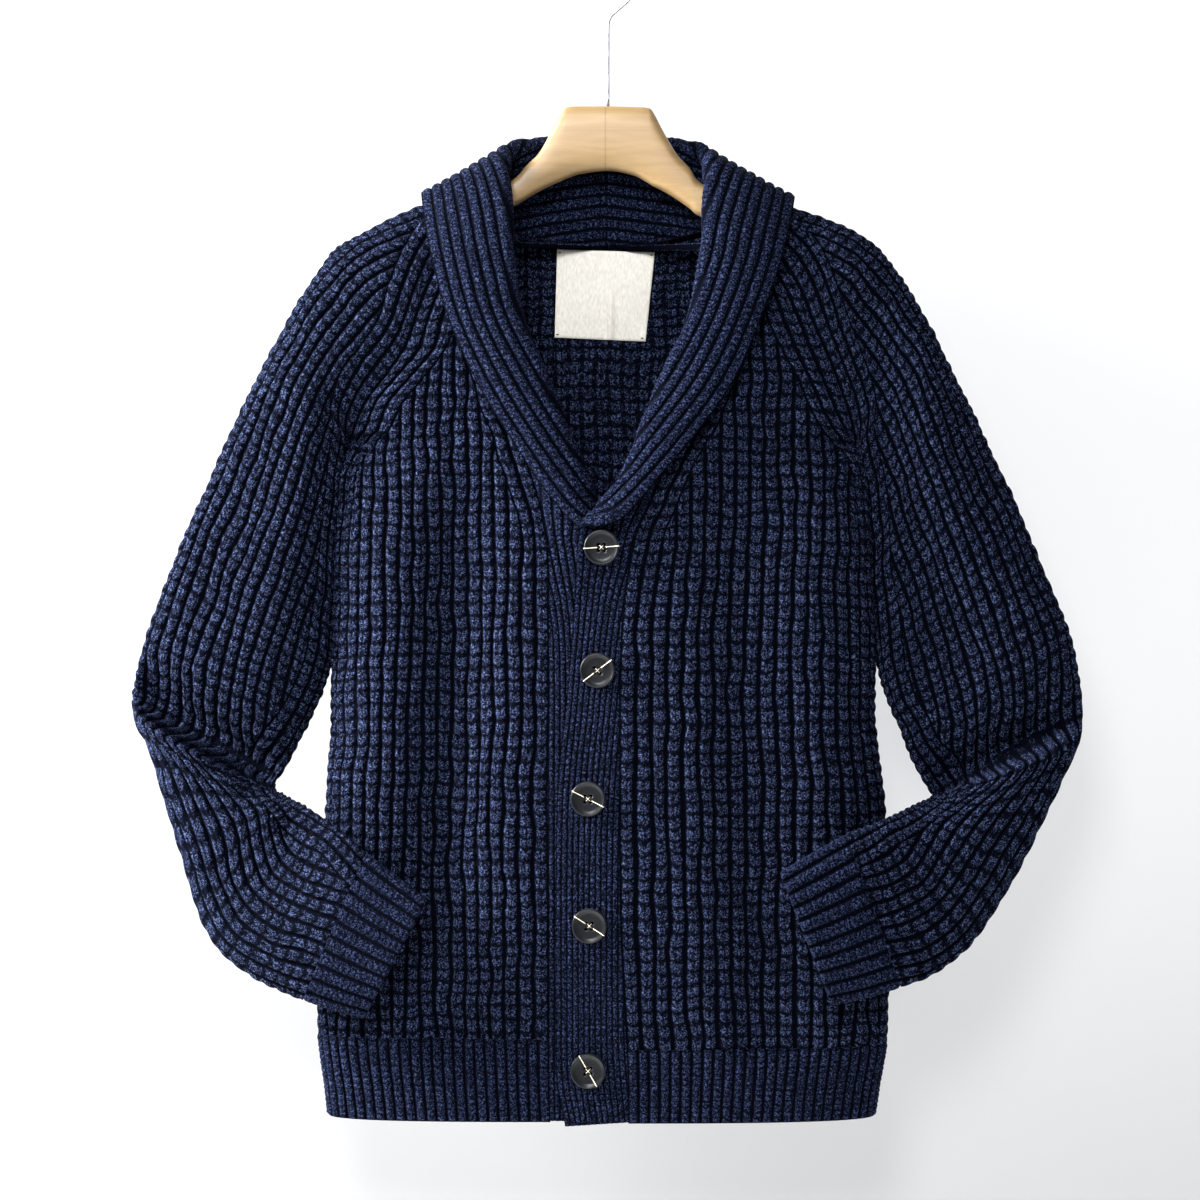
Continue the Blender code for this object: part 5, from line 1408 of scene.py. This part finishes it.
def build_hook(made_of):
    """The bent wire: a stem out of the wood, a knee, a lean towards the loop, and the loop."""
    turns = np.radians(np.linspace(HOOK_LOOP_FROM, HOOK_LOOP_TO, HOOK_LOOP_STEPS))
    loop = np.stack(
        (HOOK_LOOP * np.cos(turns), 0 * turns, HOOK_LOOP * np.sin(turns) - HOOK_LOOP_CENTRE), axis=1
    )
    foot = np.array((HOOK_STEM_X, 0, SEAM_GAP - min(row[1] for row in HANGER)))
    bend = np.array((HOOK_STEM_X, 0, -HOOK_STEM_BEND))
    stem = [mix(foot, bend, share) for share in np.linspace(0, 0.86, 12)]
    knee = [
        (1 - t) ** 2 * mix(foot, bend, 0.9) + 2 * t * (1 - t) * bend + t * t * mix(bend, loop[0], 0.25)
        for t in np.linspace(0.1, 1, 8)
    ]
    lean = [mix(bend, loop[0], share) for share in np.linspace(0.35, 0.85, 4)]
    wire = tube([*stem, *knee, *lean, *loop], HOOK_WIRE, HOOK_SIDES, (0, 1, 0))
    return add_rings("hook_wire", [wire], made_of)


def label_face(across, down):
    """Points of the label's face: shares run from its left side and from its top."""
    corners = np.array(LABEL_CORNERS, float)
    flat = mix(mix(corners[0], corners[1], across), mix(corners[3], corners[2], across), down)
    x, drop = flat[..., 0], flat[..., 1]
    y = back_middle(drop.ravel()).reshape(drop.shape) - KNIT_WALL - LABEL_GAP - 0.03 * np.abs(x)
    y = y + LABEL_WAVE * np.sin(down[..., 0] * 5 + across[..., 0] * 3) - LABEL_LIFT
    crease = np.exp(-(((across - 0.56 - 0.05 * down) / CREASE_WIDTH) ** 2)) * ease((down - 0.3) / 0.4)
    curl = ease((across - 0.86) / 0.14) * ease((down - 0.8) / 0.2)
    y = y - LABEL_CREASE * crease[..., 0] - LABEL_CURL * curl[..., 0]
    return np.stack((x, y, -drop), axis=-1)


def build_label(made_of):
    """The neck label: a thin tape with a slight wave, one crease and a curled corner."""
    across = np.linspace(0, 1, LABEL_CELLS[0])[None, :, None]
    down = np.linspace(0, 1, LABEL_CELLS[1])[:, None, None]
    outer = label_face(across, down)
    inner = outer + (0, LABEL_WALL, 0)
    made = add_cloth(
        "neck_label_cloth", across[:, :, 0], outer, inner,
        across[:, :, 0] * LABEL_SIZE[0], down[:, :, 0] * LABEL_SIZE[1], False, (4, 4), made_of,
    )
    flip_if_inside_out(made)
    return made


def build_label_stitches(made_of):
    """A few short stitches of the body's yarn that hold the label's corners."""
    parts = []
    for across, down in LABEL_STITCHES:
        spots = np.array((across - LABEL_STITCH_HALF, across, across + LABEL_STITCH_HALF))[:, None]
        path = label_face(spots, np.full_like(spots, down)) + LABEL_STITCH_BOW
        parts.append(tube(path, LABEL_STITCH_RADIUS, THREAD_SIDES, (0, 0, 1)))
    return add_rings("label_stitches", parts, made_of)


def button_face(radius):
    """Height of a button's face over its back, at distances from its middle."""
    radii, heights = np.array(BUTTON_CURVE)[BUTTON_FACE_FROM:].T
    return np.interp(radius, radii[::-1], heights[::-1])


def build_button(number, button, made_of):
    """A turned button: a rounded rim, a shallow dish, and four sunk holes in its flat middle."""
    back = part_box(f"button_{number}")[1][1] / MM
    turns = np.linspace(0, 2 * math.pi, BUTTON_SIDES, endpoint=False)
    holes = [(x, z) for x in (-HOLE_REACH, HOLE_REACH) for z in (-HOLE_REACH, HOLE_REACH)]
    rings = []
    for step, (radius, height) in enumerate(BUTTON_CURVE):
        x, z = radius * np.cos(turns), radius * np.sin(turns)
        nearest = np.min([np.hypot(x - hole_x, z - hole_z) for hole_x, hole_z in holes], axis=0)
        sunk = HOLE_DEPTH * ease((HOLE_RADIUS + HOLE_ROUNDING / 2 - nearest) / HOLE_ROUNDING)
        sunk = sunk * (step >= BUTTON_FACE_FROM)
        rings.append(np.stack((button.x + x, back - height + sunk, z - button.drop), axis=1))
    return add_rings(f"button_{number}_resin", [rings], made_of, (button.x, -button.drop))


def build_thread(number, button, made_of):
    """The sewing thread: from the holes over the dish and round the rim, and across the middle."""
    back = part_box(f"button_{number}")[1][1] / MM
    turn = math.radians(button.thread_angle)
    parts = []
    over_face = button_face(THREAD_REACHES) + THREAD_RADIUS * 0.8
    over_face[0] -= THREAD_SINK
    over_face[-2:] = THREAD_OVER_RIM
    over_middle = button_face(np.abs(CROSS_REACHES)) + CROSS_HEIGHTS
    stitches = [(turn, way * THREAD_REACHES, over_face, THREAD_RADIUS) for way in (-1, 1)]
    stitches += [(math.radians(a), CROSS_REACHES, over_middle, CROSS_RADIUS) for a in CROSS_ANGLES]
    for turn, reach, height, radius in stitches:
        x, z = button.x + reach * math.cos(turn), reach * math.sin(turn) - button.drop
        path = np.stack((x, back - height, z), axis=1)
        parts.append(tube(path, radius, THREAD_SIDES, (-math.sin(turn), 0, math.cos(turn))))
    return add_rings(f"button_{number}_thread", parts, made_of)


def add_plane(name, corners, made_of):
    """A flat piece of the studio."""
    mesh = bpy.data.meshes.new(name)
    mesh.from_pydata(corners, [], [(0, 1, 2, 3)])
    mesh.materials.append(made_of)
    added = bpy.data.objects.new(name, mesh)
    bpy.context.scene.collection.objects.link(added)
    return added


def add_softbox(name, place, target, size, power):
    """A soft rectangular lamp that looks at a target."""
    lamp = bpy.data.lights.new(name, "AREA")
    lamp.shape = "RECTANGLE"
    lamp.size, lamp.size_y = size
    lamp.energy = power
    added = bpy.data.objects.new(name, lamp)
    added.location = place
    direction = np.array(target, float) - np.array(place, float)
    added.rotation_euler = Vector(direction).to_track_quat("-Z", "Y").to_euler()
    bpy.context.scene.collection.objects.link(added)
    return added


def build_studio():
    """A pale wall that glows by itself, a floor, and three soft lamps round the garment.

    The wall's glow is painted light that keeps it white and its shadows faint: even, without
    a highlight, and dimmer towards its foot as painted shade. From behind it is clear, so
    that the back shows too.
    """
    white_wall_with_painted_glow, tree, shader = new_material("white_wall_painted_glow")
    place = add_node(tree, "ShaderNodeTexCoord").outputs["Object"]
    height = add_node(tree, "ShaderNodeSeparateXYZ", None, {"Vector": place}).outputs["Z"]
    # Painted light: the wall glows by itself, and less towards its foot as painted shade.
    painted_glow = add_node(
        tree, "ShaderNodeMapRange", {"interpolation_type": "SMOOTHSTEP"},
        {"Value": height, "From Min": GLOW_FROM, "From Max": GLOW_TO,
         "To Min": WALL_PAINTED_GLOW_AT_FOOT, "To Max": WALL_PAINTED_GLOW},
    ).outputs["Result"]
    tree.links.new(painted_glow, shader.inputs["Emission Strength"])
    shader.inputs["Base Color"].default_value = linear("#707070")
    shader.inputs["Roughness"].default_value = 0.9
    shader.inputs["Emission Color"].default_value = linear("#fbfcff")
    output = tree.nodes["Material Output"]
    side = add_node(tree, "ShaderNodeNewGeometry").outputs["Backfacing"]
    clear = add_node(tree, "ShaderNodeBsdfTransparent").outputs[0]
    mixed = add_node(tree, "ShaderNodeMixShader", None, {0: side, 1: shader.outputs[0], 2: clear})
    tree.links.new(mixed.outputs[0], output.inputs["Surface"])
    far, near, low, high = STUDIO_REACH, WALL_Y, FLOOR_Z, WALL_TOP
    wall = add_plane(
        "studio_wall",
        [(-far, near, low), (far, near, low), (far, near, high), (-far, near, high)],
        white_wall_with_painted_glow,
    )
    wall.visible_shadow = False
    # Matte floor paint: nearly white, faintly uneven, with no highlight.
    floor_paint = mottled("matte_white_floor", FLOOR_MOTTLE, "#eeeeec", "#f6f6f4", 0.9)[0]
    add_plane(
        "studio_floor", [(-far, -far, low), (far, -far, low), (far, far, low), (-far, far, low)], floor_paint
    )
    world = bpy.data.worlds.new("studio_light")
    world.use_nodes = True
    background = world.node_tree.nodes["Background"]
    background.inputs["Color"].default_value = (1, 1, 1, 1)
    seen = add_node(world.node_tree, "ShaderNodeLightPath").outputs["Is Camera Ray"]
    strength = add_node(
        world.node_tree, "ShaderNodeMapRange", None,
        {"Value": seen, "To Min": WORLD_STRENGTH, "To Max": WORLD_SEEN},
    ).outputs["Result"]
    world.node_tree.links.new(strength, background.inputs["Strength"])
    bpy.context.scene.world = world
    bpy.context.scene.view_settings.view_transform = "Standard"
    for lamp in LAMPS:
        add_softbox(*lamp)


def add_camera():
    """A camera square to the garment's front, that sees the frame's width at its plane."""
    lens = bpy.data.cameras.new("camera")
    lens.sensor_fit = "HORIZONTAL"
    lens.sensor_width = SENSOR_WIDTH
    lens.lens = SENSOR_WIDTH * CAMERA_DISTANCE / FRAME_WIDTH
    camera = bpy.data.objects.new("camera", lens)
    camera.location = (CAMERA_X, -CAMERA_DISTANCE, CAMERA_Z)
    camera.rotation_euler = (math.pi / 2, 0, 0)
    bpy.context.scene.collection.objects.link(camera)
    bpy.context.scene.camera = camera


def dress(made, node):
    """Let a piece ride the garment and take a solid's place.
    """
    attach(made, "root")
    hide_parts(node)


# After the slant come the painted shade levels between legs, between rows, in a bridged groove and in an
# open groove, then the yarn's lightest colour.
knit = wool("navy_lambswool_waffle", LOOP_SLANT, 0.7, 0.5, 0.5, 0.08, linear("#6878a8"))
rib = wool("navy_lambswool_rib", 0.5, 0.85, 0.7, 0.65, 0.2, linear("#515f8c"))
wood = varnished_beech()
resin = charcoal_resin()
tape = woven_satin()
# Drawn steel wire: a bright metal with narrow highlights, and a faint grain along the wire.
steel = mottled("drawn_steel_wire", WIRE_GRAIN, "#8f9094", "#c4c5c9", 0.28, 1.0)[0]
# Cotton thread: warm cream and matte, with darker gaps between its strands.
thread = mottled("cream_cotton_thread", THREAD_STRAND, "#cdbb9c", "#fff6e2", 0.7)[0]

add_camera()
build_studio()
dress(build_front("right", 13, 11, knit), "front_right")
dress(build_front("left", 14, 12, knit), "front_left")
dress(build_back(33, 13, knit), "back")
for seed, side in enumerate(("right", "left")):
    dress(build_sleeve(side, 20 + seed, knit), f"sleeve_{side}")
    dress(build_cuff(side, 30 + seed, rib), f"cuff_{side}")
    dress(build_collar(side, 40 + seed, rib), f"button_band_collar_{side}")
front_shares = np.linspace(0, 1, HEM_POINTS)
back_shares = np.linspace(0, 2, BACK_HEM_POINTS)
right_side, left_side = (-1.0, 0.0, 0.0), (1.0, 0.0, 0.0)
dress(
    build_hem("hem_front_right_rib", lambda p: front_surface("right", p, front_shares), FRONT_RIGHT_RIBS,
              ((True, right_side),), True, -1, rib, 50),
    "hem_front_right",
)
dress(
    build_hem("hem_front_left_rib", lambda p: front_surface("left", p, front_shares), FRONT_LEFT_RIBS,
              ((True, left_side),), False, 1, rib, 51),
    "hem_front_left",
)
dress(
    build_hem("hem_back_rib", lambda p: back_surface(p, back_shares), BACK_RIBS,
              ((True, right_side), (False, left_side)), False, 1, rib, 52),
    "hem_back",
)
dress(build_hanger(wood), "hanger")
dress(build_hook(steel), "hook")
dress(build_label(tape), "neck_label")
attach(build_label_stitches(rib), "root")
for number, button in enumerate(BUTTONS, 1):
    dress(build_button(number, button, resin), f"button_{number}")
    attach(build_thread(number, button, thread), "root")
